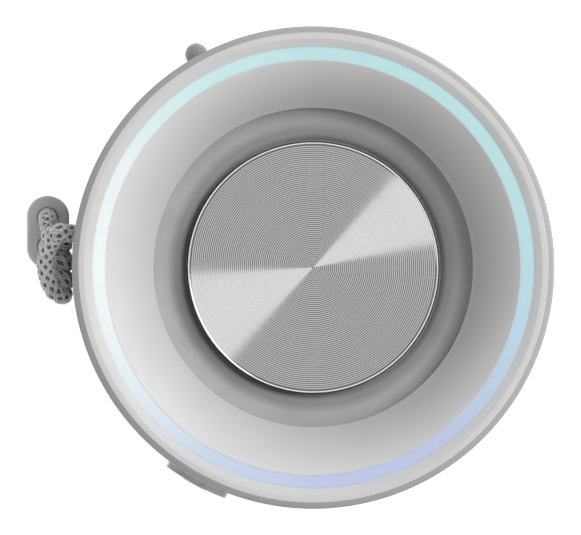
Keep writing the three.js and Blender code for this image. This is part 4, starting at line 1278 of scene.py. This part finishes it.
# ---------------- stage and light
def glow_material(name, strength):
    """A surface that gives white light."""
    material = bpy.data.materials.new(name)
    material.use_nodes = True
    shader = material.node_tree.nodes["Principled BSDF"]
    fill(shader, {"Base Color": grey(0.0), "Emission Color": grey(1.0), "Emission Strength": strength})
    return material


def add_floor():
    """Pale floor that glows a little, so that it comes out as white as the photo's ground."""
    mesh = bpy.data.meshes.new("floor")
    reach = 12.0  # metres each way
    corners = [(-reach, -reach, 0), (reach, -reach, 0), (reach, reach, 0), (-reach, reach, 0)]
    mesh.from_pydata(corners, [], [(0, 1, 2, 3)])
    floor = placed("floor", mesh)
    material = glow_material("floor", 0.8)
    shader = material.node_tree.nodes["Principled BSDF"]
    fill(shader, {"Base Color": grey(0.6), "Roughness": 0.9})
    mesh.materials.append(material)


def add_softbox(name, azimuths, zeniths, distance, strength, mirrored=True, lights=True):
    """A glowing wedge of sky between two azimuths and two angles from straight up, about the top.

    Glossy surfaces mirror it if mirrored is set, and it falls on matt ones if lights is set.
    """
    columns, rows = 12, 8
    centre = Vector((0, 0, TOP * MM))
    verts = []
    for i in range(rows + 1):
        zenith = math.radians(zeniths[0] + (zeniths[1] - zeniths[0]) * i / rows)
        for k in range(columns + 1):
            azimuth = math.radians(azimuths[0] + (azimuths[1] - azimuths[0]) * k / columns)
            flat = math.sin(zenith)
            out = Vector((flat * math.cos(azimuth), flat * math.sin(azimuth), math.cos(zenith)))
            verts.append(centre + out * distance)
    faces = []
    for i in range(rows):
        for k in range(columns):
            a = i * (columns + 1) + k
            faces.append((a, a + 1, a + columns + 2, a + columns + 1))
    mesh = bpy.data.meshes.new(name)
    mesh.from_pydata(verts, [], faces)
    mesh.materials.append(glow_material(name, strength))
    box = placed(name, mesh)
    box.visible_camera = False
    box.visible_glossy = mirrored
    box.visible_diffuse = lights


def add_light():
    bpy.context.scene.view_settings.view_transform = "Standard"
    world = bpy.data.worlds.new("studio")
    world.use_nodes = True
    fill(world.node_tree.nodes["Background"], {"Color": grey(1.0), "Strength": 0.3})
    bpy.context.scene.world = world
    add_softbox("key_softbox", (2, 44), (20, 66), 0.95, 7.5, mirrored=False)
    add_softbox("fill_softbox", (165, 222), (60, 84), 1.0, 1.2, mirrored=False)
    # The grooves' two faces mirror the high strips and the low ones in the disc's bright sectors,
    # and the bright and dark rings as fine lines everywhere else.
    for name, azimuths in (("near", (11, 48.5)), ("far", (182.5, 228))):
        add_softbox(f"{name}_high_strip", azimuths, (18.5, 29.5), 1.15, 0.7, lights=False)
        opposite = tuple(a - 180 for a in azimuths)
        add_softbox(f"{name}_low_strip", opposite, (30.3, 42), 1.1, 0.72, lights=False)
    add_softbox("sky_ring", (0, 360), (16, 30), 1.25, 0.49, lights=False)
    add_softbox("flag_ring", (0, 360), (30, 46), 1.25, 0.1, lights=False)
    add_softbox("crown_panel", (0, 360), (0, 3), 1.2, 1.2, lights=False)
    add_softbox("edge_strip", (5, 60), (48, 66), 1.05, 2.2)


add_floor()
add_light()
